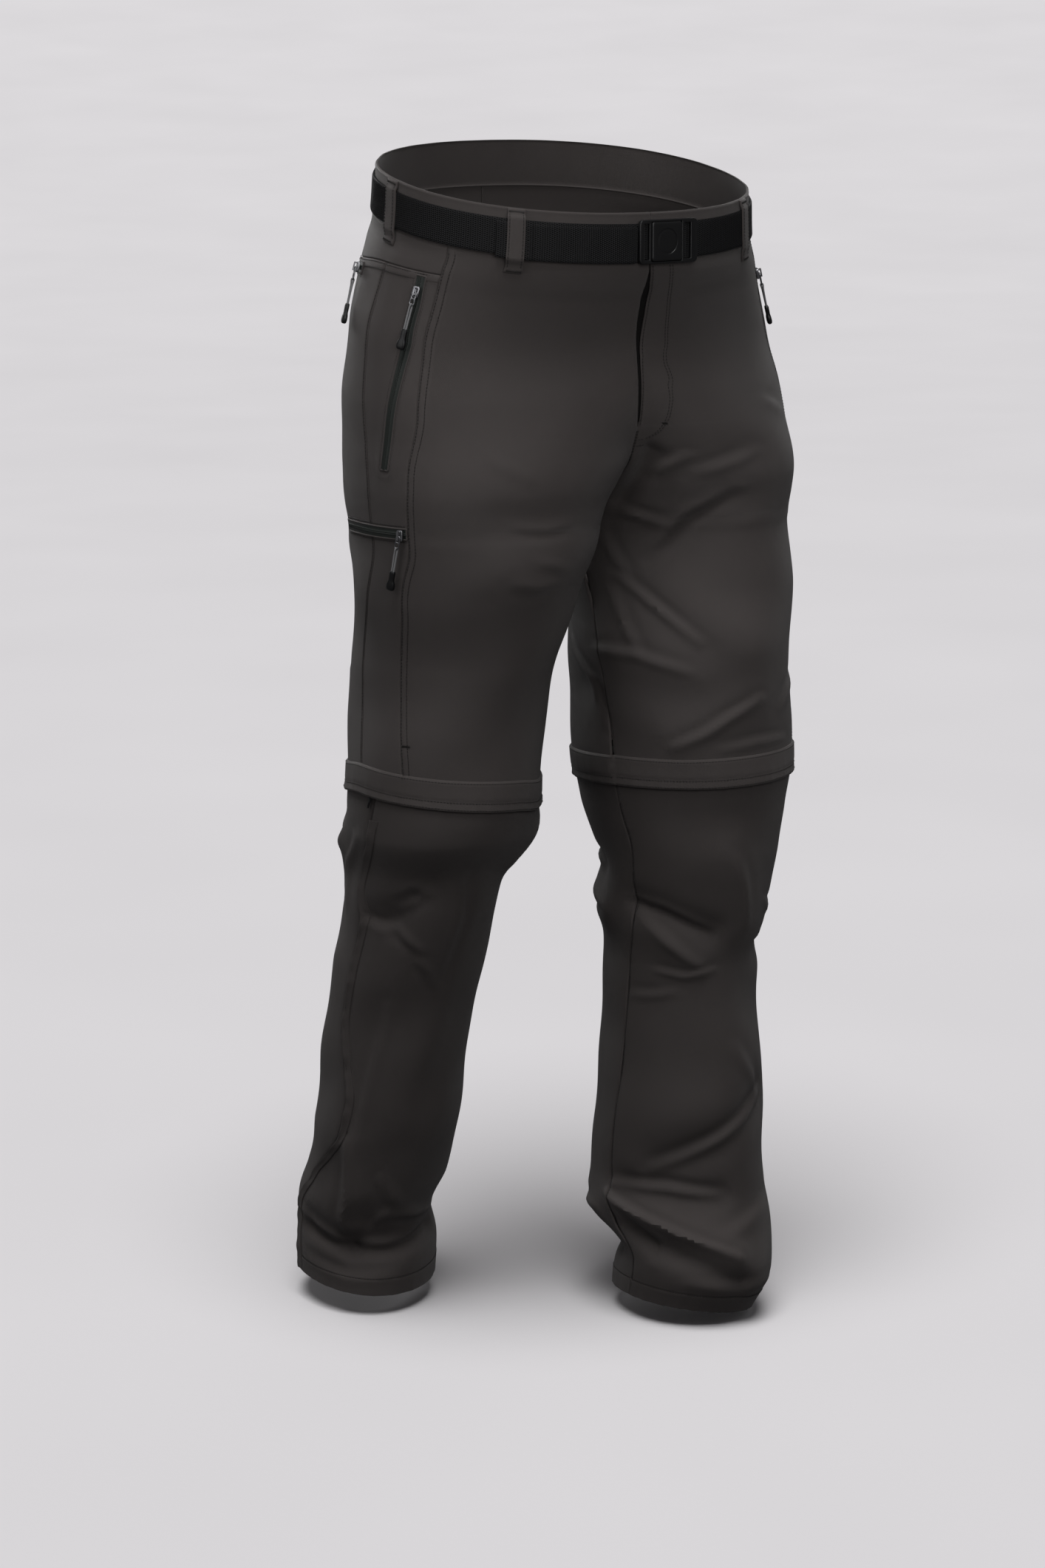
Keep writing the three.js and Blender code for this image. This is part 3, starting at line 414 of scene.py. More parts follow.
def fold_height(side, z, angle):
    """How far folds, creases and swells stand out from the smooth form"""
    z, angle = np.broadcast_arrays(np.asarray(z, float), np.asarray(angle, float))
    height = np.zeros(z.shape)
    for width, high, *line in FOLDS[side]:
        away, _, _ = along_line(line, z, angle)
        height += high * bell(away, width)
    for width, high, *line in CREASES[side]:
        away, beside, share = along_line(line, z, angle)
        a = away * beside / (width * CREASE_WIDTH)
        fade = np.clip(np.sin(math.pi * lerp(0.06, 0.94, share)), 0, 1) ** 0.6
        height += CREASE_DEPTH * high * fade * (
            bell(a) - TROUGH_SHARE * bell(a - TROUGH_AWAY))
    ease = smooth_step(-60, -150, z)
    for turn, long, phase in SWELLS:
        run = math.cos(turn) * angle * MM_PER_DEGREE * 0.7 + math.sin(turn) * z
        height += ease * SWELL_HEIGHT * np.sin(math.tau * run / long + phase)
    aside = np.abs(smooth_point(side, z, angle)[..., 0] - shift_at(z))
    joined = (1 - smooth_step(FLAT_TO, FOLDED_FROM, aside)) * (1 - smooth_step(-300, -345, z))
    return height * (1 - joined)


def folded_point(side, z, angle):
    height = fold_height(side, z, angle)[..., None]
    return smooth_point(side, z, angle) + height * normal_of(smooth_point, side, z, angle)


def outward(side, z, angle):
    """The folded cloth's normal"""
    return normal_of(folded_point, side, z, angle)


def cloth(side, z, angle, out):
    """A point of the cloth's outer face, moved out by a distance"""
    return folded_point(side, z, angle) + np.asarray(out)[..., None] * outward(side, z, angle)


def angle_at_x(side, z, x):
    """Angle at which a section is a distance outward from the middle plane, on its front"""
    s = section_at(side, z)
    reach = (x - s["middle"]) / s["half_width"]
    inside = np.clip(np.abs(reach), 0, 1) ** (s["square"] / 2)
    return np.where(reach <= -1, np.nan, np.sign(reach) * np.degrees(np.arcsin(inside)))


def mm_per_degree(side, z, angle):
    across = smooth_point(side, z, np.add(angle, 0.5)) - smooth_point(side, z,
                                                                     np.add(angle, -0.5))
    return np.linalg.norm(across, axis=-1)


def moved(side, z, angle, aside):
    """An angle moved round the leg by a length"""
    return angle + aside / mm_per_degree(side, z, angle)


def front_start(side, z):
    cut = angle_at_x(side, z, np.where(z < FLY_END, -SEAM_OVERLAP, FLY_OPEN * slit_at(z)))
    return np.where(np.isnan(cut), in_seam(z), cut)


def back_end(side, z):
    cut = angle_at_x(side, z, -SEAM_OVERLAP)
    return np.where(np.isnan(cut), TURN + in_seam(z), 180 - cut)


# Finishes
def finish(name, colour, roughness, grain, tones=(0.62, 1.38), **sockets):
    """A material whose colour and relief come from its own grain function"""
    made = bpy.data.materials.new(name)
    made.use_nodes = True
    tree = made.node_tree
    shader = tree.nodes["Principled BSDF"]
    for socket, value in {"Roughness": roughness, **sockets}.items():
        shader.inputs[socket.replace("_", " ")].default_value = value
    shade, relief, depth = grain(tree)
    mixed = tree.nodes.new("ShaderNodeMix")
    mixed.data_type = "RGBA"
    for end, tone in zip("AB", tones):
        mixed.inputs[end].default_value = (*(min(c * tone, 1) for c in colour), 1)
    tree.links.new(shade.socket, mixed.inputs["Factor"])
    tree.links.new(mixed.outputs["Result"], shader.inputs["Base Color"])
    bump = tree.nodes.new("ShaderNodeBump")
    bump.inputs["Strength"].default_value = 1
    bump.inputs["Distance"].default_value = depth
    tree.links.new(relief.socket, bump.inputs["Height"])
    tree.links.new(bump.outputs["Normal"], shader.inputs["Normal"])
    return made


class Signal:
    """A varying number in a shader's tree; sums and products of it are Math nodes"""

    def __init__(self, tree, socket):
        self.tree, self.socket = tree, socket

    def maths(self, kind, other=None):
        node = self.tree.nodes.new("ShaderNodeMath")
        node.operation = kind
        self.tree.links.new(self.socket, node.inputs[0])
        if isinstance(other, Signal):
            self.tree.links.new(other.socket, node.inputs[1])
        elif other is not None:
            node.inputs[1].default_value = other
        return Signal(self.tree, node.outputs[0])

    def __add__(self, other):
        return self.maths("ADD", other)

    def __sub__(self, other):
        return self.maths("SUBTRACT", other)

    def __mul__(self, other):
        return self.maths("MULTIPLY", other)

    def above_zero(self):
        return self.maths("MAXIMUM", 0.0)


def noise(tree, scale, detail=2.0, stretch=(1, 1, 1)):
    """Noise over the piece's own place, scale times in a metre"""
    place = tree.nodes.new("ShaderNodeTexCoord")
    mapping = tree.nodes.new("ShaderNodeMapping")
    mapping.inputs["Scale"].default_value = stretch
    tree.links.new(place.outputs["Object"], mapping.inputs["Vector"])
    node = tree.nodes.new("ShaderNodeTexNoise")
    node.inputs["Scale"].default_value = scale
    node.inputs["Detail"].default_value = detail
    tree.links.new(mapping.outputs["Vector"], node.inputs["Vector"])
    return Signal(tree, node.outputs["Fac"])


def across_cloth(tree):
    """Metres across and down the cloth, from the map that its mesh carries"""
    uv = tree.nodes.new("ShaderNodeUVMap")
    uv.uv_map = "weave"
    parts = tree.nodes.new("ShaderNodeSeparateXYZ")
    tree.links.new(uv.outputs["UV"], parts.inputs["Vector"])
    return Signal(tree, parts.outputs["X"]), Signal(tree, parts.outputs["Y"])


def wave(at, pitch, turn=0.0):
    return (at * (math.tau / pitch) + turn).maths("SINE")


def woven(pitch, depth):
    """Warp and weft of one pitch, slow changes of tone and a slight unevenness"""
    def grain(tree):
        u, v = across_cloth(tree)
        warp = wave(u, pitch) * wave(v, pitch)
        tone = (noise(tree, 14, 3, (1, 1, 0.6)) * 0.3 + noise(tree, 900, 2) * 0.25
                + warp * 0.08 + 0.27)
        uneven = noise(tree, 120, 3) * 0.8 + noise(tree, 34, 3, (1, 1, 0.7)) * 9.0
        return tone, warp + uneven, depth
    return grain


def webbed(tree):
    """Speckled ribs: short floats that alternate from rib to rib; their colour is painted
    highlight on the floats over the rib crowns and painted shade in the grooves between ribs
    """
    u, v = across_cloth(tree)
    rib = (u * (1 / (RIB * MM))).maths("FLOOR")
    floats = wave(v + rib * (FLOAT / 2), FLOAT)
    crown = wave(u, RIB * MM, math.pi / 2)
    painted_highlight = (floats.above_zero() * 0.65 + 0.35) * crown.above_zero()
    return painted_highlight * 0.9 + noise(tree, 700, 2) * 0.2, floats + noise(tree, 1500) * 0.5, 2e-4


def moulded(tree):
    coarse, fine = noise(tree, 60, 3), noise(tree, 2600, 2)
    return coarse * 0.6 + fine * 0.4, fine, 4e-5


def brushed(tree):
    return noise(tree, 300, 3), noise(tree, 1800, 3, (1, 1, 0.2)), 3e-5


def braided(tree):
    u, v = across_cloth(tree)
    plait = wave(v + u, PLAIT) * wave(v - u, PLAIT)
    return plait * 0.3 + 0.5, plait, 1.2e-4


def twisted(tree):
    fine = noise(tree, 2200, 2, (1, 1, 0.4))
    return fine, fine, 6e-5


def plaster(tree):
    return noise(tree, 1.4, 2) * 0.12 + 0.44, noise(tree, 160, 3), 1e-4


# The webbing's rib in millimetres, and its floats and the cord's plait in metres
RIB = 2.05
FLOAT = 0.0017
PLAIT = 0.0013
CLOTH = finish("stretch_woven", (0.0308, 0.0261, 0.0249), 0.62, woven(0.0005, 7e-5),
               Sheen_Weight=0.06, Sheen_Roughness=0.4, Specular_IOR_Level=0.22)
# A near-black copy of the cloth: painted shade for the fly's under layer seen through the slit
CLOTH_PAINTED_SHADE = finish("stretch_woven_painted_shade", (0.005, 0.0045, 0.0043), 0.85,
                      woven(0.0005, 7e-5), Specular_IOR_Level=0.08)
THREAD = finish("sewing_thread", (0.0085, 0.0075, 0.0072), 0.6, twisted,
                Specular_IOR_Level=0.2)
# The webbing's tones run from painted shade in its rib grooves to painted highlights on its rib
# crowns
WEBBING = finish("ribbed_webbing", (0.0058, 0.0058, 0.0062), 0.65, webbed,
                 tones=(0.15, 2.5), Specular_IOR_Level=0.1)
TAPE = finish("coated_tape", (0.0085, 0.0108, 0.0094), 0.5, woven(0.0009, 6e-5),
              Specular_IOR_Level=0.25)
COIL = finish("coil_teeth", (0.014, 0.016, 0.015), 0.42, moulded)
PLASTIC = finish("moulded_black", (0.0028, 0.0028, 0.0031), 0.42, moulded,
                 Specular_IOR_Level=0.24)
METAL = finish("dark_metal", (0.19, 0.19, 0.2), 0.34, brushed, Metallic=1.0)
CORD = finish("grey_cord", (0.12, 0.12, 0.124), 0.7, braided, tones=(0.25, 1.6))
PALE = finish("pale_floor", (0.66, 0.645, 0.66), 0.85, plaster)


# Meshes
def added(name, data):
    made = bpy.data.objects.new(name, data)
    bpy.context.scene.collection.objects.link(made)
    return made


def new_piece(name, points, faces, paint, body="root", nodes=(), weave=None, crisp=50):
    """A piece of the garment; faces is a list of arrays of three or four corners"""
    mesh = bpy.data.meshes.new(name)
    points = np.asarray(points, float).reshape(-1, 3)
    corners = np.concatenate([f.ravel() for f in faces]).astype(np.int32)
    sizes = np.concatenate([np.full(len(f), f.shape[1]) for f in faces])
    mesh.vertices.add(len(points))
    mesh.vertices.foreach_set("co", (points * MM).ravel())
    mesh.loops.add(len(corners))
    mesh.loops.foreach_set("vertex_index", corners)
    mesh.polygons.add(len(sizes))
    mesh.polygons.foreach_set("loop_start",
                              np.concatenate([[0], np.cumsum(sizes)[:-1]]).astype(np.int32))
    mesh.update(calc_edges=True)
    mesh.validate()
    if weave is not None:
        layer = mesh.uv_layers.new(name="weave")
        layer.data.foreach_set("uv", (np.asarray(weave).reshape(-1, 2)[corners] * MM).ravel())
    mesh.materials.append(paint)
    mesh.shade_smooth()
    mesh.set_sharp_from_angle(angle=math.radians(crisp))
    return belongs(added(name, mesh), body, nodes)


def belongs(piece, body, nodes):
    if nodes:
        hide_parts(*nodes)
    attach(piece, body)
    return piece


def volume(points, faces):
    a, b, c, d = (points[faces[:, i]] for i in range(4))
    return np.einsum("ij,ij->", a, np.cross(b, c) + np.cross(c, d))


def numbered(rows, columns, ring=True):
    """Point numbers of a grid; a ring's last column meets its first"""
    at = np.arange(rows * columns).reshape(rows, columns)
    return np.hstack([at, at[:, :1]]) if ring else at


def fan(tip, ring, turn=1):
    """The faces from one point number to a ring of them, turned over by -1"""
    return np.stack([np.full(len(ring) - 1, tip), *[ring[:-1], ring[1:]][::turn]], -1)


def quads(at, turn=1):
    """The faces of a grid of point numbers, turned over by -1"""
    corners = [at[:-1, :-1], at[1:, :-1], at[1:, 1:], at[:-1, 1:]]
    return np.stack([corners[i * turn] for i in range(4)], -1).reshape(-1, 4)


def meshed(*parts):
    """Numbers of a grid's points side by side"""
    return np.stack(np.broadcast_arrays(*parts), -1)


def shell(outer, inner, ring=False):
    """Closed cloth between two grids of points"""
    rows, columns = outer.shape[:2]
    over = numbered(rows, columns, ring)
    under = over + rows * columns
    faces = [quads(over), quads(under, -1), quads(np.stack([under[0], over[0]])),
             quads(np.stack([over[-1], under[-1]]))]
    if not ring:
        faces += [quads(np.stack([over[:, 0], under[:, 0]], 1), -1),
                  quads(np.stack([over[:, -1], under[:, -1]], 1))]
    points = np.concatenate([outer.reshape(-1, 3), inner.reshape(-1, 3)])
    faces = np.concatenate(faces)
    return points, faces[:, ::-1] if volume(points, faces) < 0 else faces


def grid_normals(grid, ring, turn):
    """Normals of a grid whose rows run down and whose columns run round"""
    if ring:
        across = np.roll(grid, -1, 1) - np.roll(grid, 1, 1)
    else:
        across = np.gradient(grid, axis=1)
    return unit(np.cross(np.gradient(grid, axis=0), across)) * turn


def run_lengths(grid):
    """Distances across and down a grid of points, for the weave"""
    across = np.linalg.norm(np.diff(grid, axis=1), axis=-1).mean(0)
    down = np.linalg.norm(np.diff(grid, axis=0), axis=-1).mean(1)
    return meshed(np.concatenate([[0], np.cumsum(across)])[None, :],
                  np.concatenate([[0], np.cumsum(down)])[:, None])


def distances(points):
    """How far along a line each of its points is"""
    steps = np.linalg.norm(np.diff(points, axis=0), axis=1)
    return np.concatenate([[0], np.cumsum(steps)])


def along(points, at, values=None):
    """A dense line's points, or the values that belong to them, at distances along it"""
    values = points if values is None else values
    return np.stack([np.interp(at, distances(points), column) for column in values.T], -1)


def laid(name, outer, normals, thick, weave, nodes, cut=None, rests="waistband", ring=False,
         paint=None, slot="cloth"):
    """A sheet of cloth under a grid of points; cut, its flat size and area, is not used"""
    points, faces = shell(outer, outer - normals * thick, ring)
    piece = new_piece(name, points, [faces], paint or CLOTH, nodes=nodes,
                      weave=np.concatenate([weave.reshape(-1, 2)] * 2))


def sheet_piece(name, base, turn, relief, cut, nodes, thick=SHEET, ring=False, **more):
    """A sheet over a grid of points, raised by its relief"""
    normals = grid_normals(base, ring, turn)
    outer = base + normals * np.asarray(relief, float)[..., None]
    laid(name, outer, normals, thick, run_lengths(outer), nodes, cut, ring=ring, **more)


# Seam relief, as heights over the cloth by distance from an edge
def ripple(at, seed):
    """Puckers along a seam, between -1 and 1"""
    draw = np.random.default_rng(seed)
    return sum(np.sin(math.tau * at / long * draw.uniform(0.9, 1.1)
                      + draw.uniform(0, math.tau)) for long in (8, 13, 23)) / 3


def turned(d):
    """The cloth's turned edge"""
    return -1.15 * bell(d, 0.75)


def sunk(d, at):
    """The groove that a row of stitches draws into the cloth"""
    return -0.4 * bell(d - at, 0.6)


PLAIN = (0, 0.35, 0.8, 1.3, 2.0, 3.2)
SINGLE = (0, 0.35, 0.8, 1.3, 1.8, 2.4, 3.4, 5.0)
LAPPED = (0, 0.35, 0.8, 1.4, 2.0, 3.2, 4.8, 6.2, 6.8, 7.3, 7.8, 8.6, 10.2)
HEMMED = (0, 0.5, 1.2, 3, 6, 10, 14, 17, 17.9, 18.5, 19.1, 20, 22)
MARKS = {"plain": PLAIN, "single": SINGLE, "lapped": LAPPED, "hem": HEMMED}
LAP_STITCHES = (1.4, 7.3)
SINGLE_STITCH = 1.8


def edge_relief(kind, d, at, seed):
    """Height over the cloth at a distance from an edge, and at a place along it"""
    if kind == "hem":
        raised = 0.5 * (1 - smooth_step(HEM_HIGH, HEM_HIGH + 1.6, d))
        return raised + 1.6 * sunk(d, HEM_HIGH) + 0.5 * ripple(at, seed) * bell(d, 20)
    pucker = ripple(at, seed) * bell(d, 8)
    if kind == "plain":
        return turned(d) + 0.14 * pucker
    if kind == "single":
        return turned(d) + sunk(d, SINGLE_STITCH) + 0.2 * pucker
    raised = 0.42 * (1 - smooth_step(7.4, 9.0, d))
    return turned(d) + raised + sum(sunk(d, row) for row in LAP_STITCHES) + 0.22 * pucker


def spread(count, low, high):
    """Marks across a panel, each a share of the whole and a shift from there"""
    t = np.linspace(0, 1, count + 1)
    share = np.concatenate([np.zeros(len(low) - 1), t, np.ones(len(high) - 1)])
    shift = np.concatenate([low[:-1], low[-1] * (1 - t) - high[-1] * t, -np.array(high[-2::-1])])
    return share, shift


def panel_grid(side, top, bottom, start, end, columns, rows):
    """Places over a panel between two lines and two seams, and how far its four edges are"""
    share_u, shift_u = (a[None, :] for a in columns)
    share_v, shift_v = (a[:, None] for a in rows)
    angle = lerp(start(-300.0), end(-300.0), share_u) + 0 * share_v
    for _ in range(6):
        z = lerp(top(angle), bottom(angle), share_v) - shift_v
        first, last = start(z), end(z)
        scale = lerp(mm_per_degree(side, z, first), mm_per_degree(side, z, last), share_u)
        angle = lerp(first, last, share_u) + shift_u / scale
    return z, angle, (top(angle) - z, z - bottom(angle),
                      (angle - first) * mm_per_degree(side, z, first),
                      (last - angle) * mm_per_degree(side, z, last))


def panel(name, side, lines, seams, counts, kinds, more=None, rests="waistband"):
    """A cut piece of one leg; kinds are those of its top, bottom, start and end edges"""
    top, bottom, start, end = (MARKS[kind] for kind in kinds)
    z, angle, edges = panel_grid(side, *lines, *seams, spread(counts[0], start, end),
                                 spread(counts[1], top, bottom))
    node = f"{name}_{side}"
    relief = np.zeros(z.shape)
    for i, (kind, away) in enumerate(zip(kinds, edges)):
        at = angle * MM_PER_DEGREE if i < 2 else z
        relief += edge_relief(kind, away, at, sum(map(ord, node)) + i)
    if more:
        relief += more(z, angle)
    sheet_piece(f"{node}_cloth", folded_point(side, z, angle), SIGN[side], relief, CUTS[name],
                [node], rests=rests)


# Sewing
def line_length(points):
    return distances(points)[-1]


STITCH_RING = 5
sewing = {}


def sew(group, points, normals, pitch=STITCH_PITCH, long=STITCH_LONG, half=STITCH_HALF):
    """Stitches along a dense line that lies on the cloth"""
    centre = np.arange(pitch, line_length(points) - pitch / 2, pitch)
    if len(centre) == 0:
        return
    middle = along(points, centre)
    step = unit(along(points, centre + long / 2) - along(points, centre - long / 2))
    out = unit(along(points, centre, normals))
    aside = unit(np.cross(step, out))
    turns = np.linspace(0, math.tau, STITCH_RING, endpoint=False)
    rings = []
    for reach, wide in ((-0.5, 0.0), (-0.36, 1.0), (0.36, 1.0), (0.5, 0.0)):
        around = turns[:STITCH_RING if wide else 1]
        rings.append(middle[:, None] + step[:, None] * reach * long
                     + aside[:, None] * (wide * half * np.cos(around))[None, :, None]
                     + out[:, None] * (wide * half * np.sin(around) - 0.1 * (wide == 0))
                     [None, :, None])
    sewing.setdefault(group, []).append(np.concatenate(rings, 1))


def sew_line(group, side, z, angle, out=0.1, **sizes):
    """Stitches through (z, angle) places, a height over the folded cloth"""
    z, angle = np.broadcast_arrays(np.asarray(z, float), np.asarray(angle, float))
    normals = outward(side, z, angle)
    lift = np.broadcast_to(out, z.shape)[..., None]
    sew(group, folded_point(side, z, angle) + lift * normals, normals, **sizes)


def sew_seam(group, side, seam, z0, z1, shift, out=0.1):
    """A line of stitches beside a seam, a distance from it"""
    z = np.linspace(z0, z1, max(int(abs(z1 - z0) / 1.5), 4))
    sew_line(group, side, z, moved(side, z, seam(z), shift), out)


def bar_tack(group, side, z, angle, wide, out=0.3):
    """A short dense bar of stitches across a line"""
    zs = z + np.linspace(-1.3, 1.3, 3)
    for share in np.linspace(-0.5, 0.5, max(int(wide / 0.5), 3)):
        spots = moved(side, z, angle, share * wide) + np.zeros(3)
        sew_line(group, side, zs, spots, out, pitch=1.2, long=2.2, half=0.2)


def make_sewing():
    """One piece of each group's stitches, all of them alike in their faces"""
    n = STITCH_RING
    ring = np.arange(n)
    after = (ring + 1) % n
    forms = (np.stack([np.zeros(n, int), 1 + after, 1 + ring], -1),
             np.stack([1 + ring, 1 + after, 1 + n + after, 1 + n + ring], -1),
             np.stack([np.full(n, 2 * n + 1), 1 + n + ring, 1 + n + after], -1))
    for group, made in sewing.items():
        points = np.concatenate(made)
        first = (np.arange(len(points)) * (2 * n + 2))[:, None, None]
        new_piece(f"sewing_{group}", points.reshape(-1, 3),
                  [(first + form).reshape(-1, form.shape[1]) for form in forms], THREAD,
                  crisp=180)


# Flat cut sizes of the cloth pieces in metres: width, length and, where it isn't a rectangle,
# area in square metres
CUTS = {
    "waistband": (0.997, 0.042, None),
    "yoke": (0.325, 0.07, 0.0153),
    "front": (0.31, 0.53, 0.118),
    "side_panel": (0.065, 0.47, 0.0258),
    "back": (0.36, 0.518, 0.145),
    "knee_flap": (0.625, 0.028, None),
    "lower_front": (0.265, 0.56, 0.121),
    "lower_back": (0.348, 0.559, 0.137),
    "side_zip": (0.011, 0.53, 0.0046),
    "fly_shield": (0.026, 0.148, None),
    "belt_loop": (0.015, 0.058, None),
}


def at_level(z):
    return lambda angle: z + 0 * np.asarray(angle, float)


def knee_line(side, down):
    return lambda angle: flap_top[side](angle) - down


def zip_lip(z, angle):
    """The cloth's soft rise beside the hand pocket's zip"""
    away, _, _ = along_line(HAND_ZIP, z, angle)
    return 0.7 * bell(away - TAPE_WIDE / 2 - 1.2, 2.4)


HAND_ZIP = [(-47, 71.5), (-75, 70), (-108, 69.6), (-150, 73.5), (-183, 76.5), (-222, 80.5)]
CARGO_ZIP = [(-277, 68.5), (-278, 86), (-279, 104), (-281, 119)]
BACK_ZIP = [(-60.5, 104), (-64, 118), (-70, 134), (-76, 150)]


def thigh(side):
    waist, knee = at_level(BAND_BOTTOM), knee_line(side, UNDER_FLAP)
    first, last = partial(front_start, side), partial(back_end, side)
    panel("front", side, (waist, knee), (first, front_seam), (54, 150),
          ("plain", "plain", "single", "lapped"))
    panel("side_panel", side, (yoke_seam, knee), (front_seam, out_seam), (18, 150),
          ("lapped", "plain", "plain", "plain"), zip_lip)
    panel("back", side, (yoke_seam, knee), (out_seam, last), (56, 150),
          ("lapped", "plain", "single", "plain"))
    panel("yoke", side, (waist, yoke_seam), (front_seam, last), (76, 14), ("plain",) * 4)


def lower_leg(side):
    lines = knee_line(side, UNDER_FLAP + KNEE_ZIP_HIGH + 0.9), at_level(HEM)
    seam = lower_seam[side]

    def zip_edge(z, angle):
        """The cloth dips where the placket covers the zip"""
        beside = (angle - seam(z)) * mm_per_degree(side, z, angle)
        return -2.2 * bell(beside, 2.4)

    for name, seams, columns, more in (
            ("lower_front", (in_seam, seam), 50, None),
            ("lower_back", (seam, lambda z: TURN + in_seam(z)), 56, zip_edge)):
        panel(name, side, lines, seams, (columns, 168), ("plain", "hem", "single", "plain"),
              more, f"knee_zip_{side}")


def interpolated(path, count):
    """Even rows along a path of (place, out) rows, rounded at its bends"""
    path = np.array(path, float)
    long = distances(path)[-1]
    at = np.linspace(0, long, count)
    rows = sum(along(path, np.clip(at + d, 0, long)) for d in (-0.9, 0, 0.9)) / 3
    rows[[0, -1]] = path[[0, -1]]
    return rows.T


def knee_flap(side):
    angles = np.arange(0, TURN, 2.0)[None, :] + IN_SEAM[1][1]
    down, out = interpolated([(0, 0.2), (1.2, 1.5), (3, 2.2), (16, 2.6), (19, 2.3),
                              (26.2, 3.4), (FLAP_HIGH, 2.9)], 34)
    z = flap_top[side](angles) - down[:, None]

    def wander(at, below):
        return 0.45 * ripple(at * MM_PER_DEGREE, 3 + len(side)) * below / FLAP_HIGH

    relief = out[:, None] + wander(angles, down[:, None])
    for seam in (front_seam, out_seam, in_seam):
        at = seam(KNEE)
        gap = (angles - at - TURN * np.round((angles - at) / TURN)) * 1.9
        relief = relief - 0.5 * bell(gap, 1.4)
    sheet_piece(f"knee_flap_{side}_cloth", folded_point(side, z, angles), SIGN[side], relief,
                CUTS["knee_flap"], [f"knee_flap_{side}"], thick=1.1, ring=True,
                rests=f"front_{side}_cloth")
    group = f"knee_flap_{side}"
    around = np.linspace(0, TURN, TURN + 4) + IN_SEAM[1][1]
    for below in (2.2, FLAP_HIGH - 7.5, FLAP_HIGH - 1.6):
        lift = np.interp(below, down, out) + 0.1 + wander(around, below)
        sew_line(group, side, flap_top[side](around) - below, around, lift)


def knee_zip(side):
    """The zip that carries the lower leg, under its flap"""
    step = 0.9
    count = int(TURN / step)
    angles = np.arange(count)[None, :] * step + IN_SEAM[1][1]
    down = np.array([8.2, 10, 11.6, 12.4, 13.2, 14, 14.8, 15.6, 16.4, 18, 20])[:, None]
    coil = bell(down - 14, 1.6)
    tooth = np.cos(math.tau * np.arange(count) / 2)[None, :] * 0.3
    sheet_piece(f"knee_zip_{side}_tape", folded_point(side, flap_top[side](angles) - down,
                                                      angles), SIGN[side],
                -0.2 + coil * (0.9 + tooth * np.sign(down - 14.01)), None,
                [f"knee_zip_{side}"], thick=0.9, ring=True, paint=COIL, slot="zip_tape")


def knee_zip_tab():
    """The end of the knee zip's pull, below the right flap"""
    path = cloth("right", np.array([-517.0, -520.0, -523.5, -527, -530.5]), 61.0 + np.zeros(5),
                 np.array([1.8, 2.2, 2.4, 2.5, 2.6]))
    out = outward("right", np.full(5, -524.0), np.full(5, 61.0))
    tube("knee_zip_tab_moulded", path, np.array([0.9, 1.2, 1.4, 1.5, 1.2]), 0.8, PLASTIC,
         out)


def placket(side):
    """The folded edge that covers the lower leg's zip"""
    z = np.linspace(HEM + 1.5, -542, 330)[::-1][:, None]
    end = lower_seam[side](z)
    scale = mm_per_degree(side, z, end)
    share = np.array([0, 0.03, 0.08, 0.15, 0.3, 0.5, 0.7, 0.85, 0.93, 0.97, 1.0])[None, :]
    angle = end - PLACKET_DEGREES + share * (PLACKET_DEGREES + 0.5 / scale)
    lift = np.interp(share, [0, 0.06, 0.15, 0.6, 0.92, 1], [0.05, 0.7, 1.0, 1.7, 2.7, 2.2])
    relief = lift + 0.9 * ripple(z * 0.4, 5) * share
    sheet_piece(f"side_placket_{side}", folded_point(side, z, angle), SIGN[side], relief,
                CUTS["side_zip"], [f"side_zip_{side}"], thick=0.6, rests=f"knee_zip_{side}")
    group = f"placket_{side}"
    seam = lower_seam[side]
    sew_seam(group, side, lambda v: seam(v) - PLACKET_DEGREES, HEM + 3, -545, 0.7, 0.5)
    sew_seam(group, side, seam, HEM + 3, -545, -1.6, 1.5)
    count = 560
    step_z = np.linspace(HEM + 20, -560, count)[:, None]
    middle = moved(side, step_z, seam(step_z), 0.9)
    across = np.array([-1.5, -1.0, -0.5, 0, 0.5, 1.0, 1.5])[None, :]
    tooth = 0.25 * np.cos(math.pi * np.arange(count))[:, None] * np.sign(across)
    sheet_piece(f"side_coil_{side}", folded_point(
        side, step_z, moved(side, step_z, middle, across)), -SIGN[side],
        -0.75 + 0.7 * bell(across, 1.1) + tooth, None, [], thick=-0.5, paint=COIL,
        slot="zip_tape")


# Bands round the waist
def waist_runs(right_x, left_x, step, ahead=None):
    """Even places round the waist over the back, as runs of one side each"""
    dense = 400
    runs = [("right", np.linspace(float(angle_at_x("right", 0.0, right_x)), 180, dense)),
            ("left", np.linspace(180, float(angle_at_x("left", 0.0, left_x)), dense))]
    if ahead:
        runs.insert(0, ("left", np.linspace(float(angle_at_x("left", 0.0, ahead)),
                                            float(angle_at_x("left", 0.0, right_x)), 30)))
    return even_runs(runs, step)


def even_runs(runs, step):
    """The same runs with columns a step apart in millimetres"""
    long = distances(np.concatenate([smooth_point(side, 0.0, angles) for side, angles in runs]))
    at = np.linspace(0, long[-1], round(long[-1] / step) + 1)
    made, first = [], 0
    for i, (side, angles) in enumerate(runs):
        own = long[first:first + len(angles)]
        last = i == len(runs) - 1
        inside = at[(at >= own[0]) & ((at <= own[-1]) if last else (at < own[-1]))]
        first += len(angles)
        if len(inside):
            made.append((side, np.interp(inside, own, angles), inside))
    return made


def band(name, runs, z, relief, nodes, **more):
    """Cloth or webbing over runs round the waist; relief is a function of place and row"""
    z = np.asarray(z, float)[:, None]
    base, normals = (np.concatenate([find(side, z, angles[None, :]) for side, angles, _ in runs],
                                    axis=1) for find in (folded_point, outward))
    at = np.concatenate([spots for _, _, spots in runs])[None, :]
    laid(name, base + normals * relief(at, z)[..., None], normals, weave=meshed(at, BAND_TOP - z),
         nodes=nodes, **more)


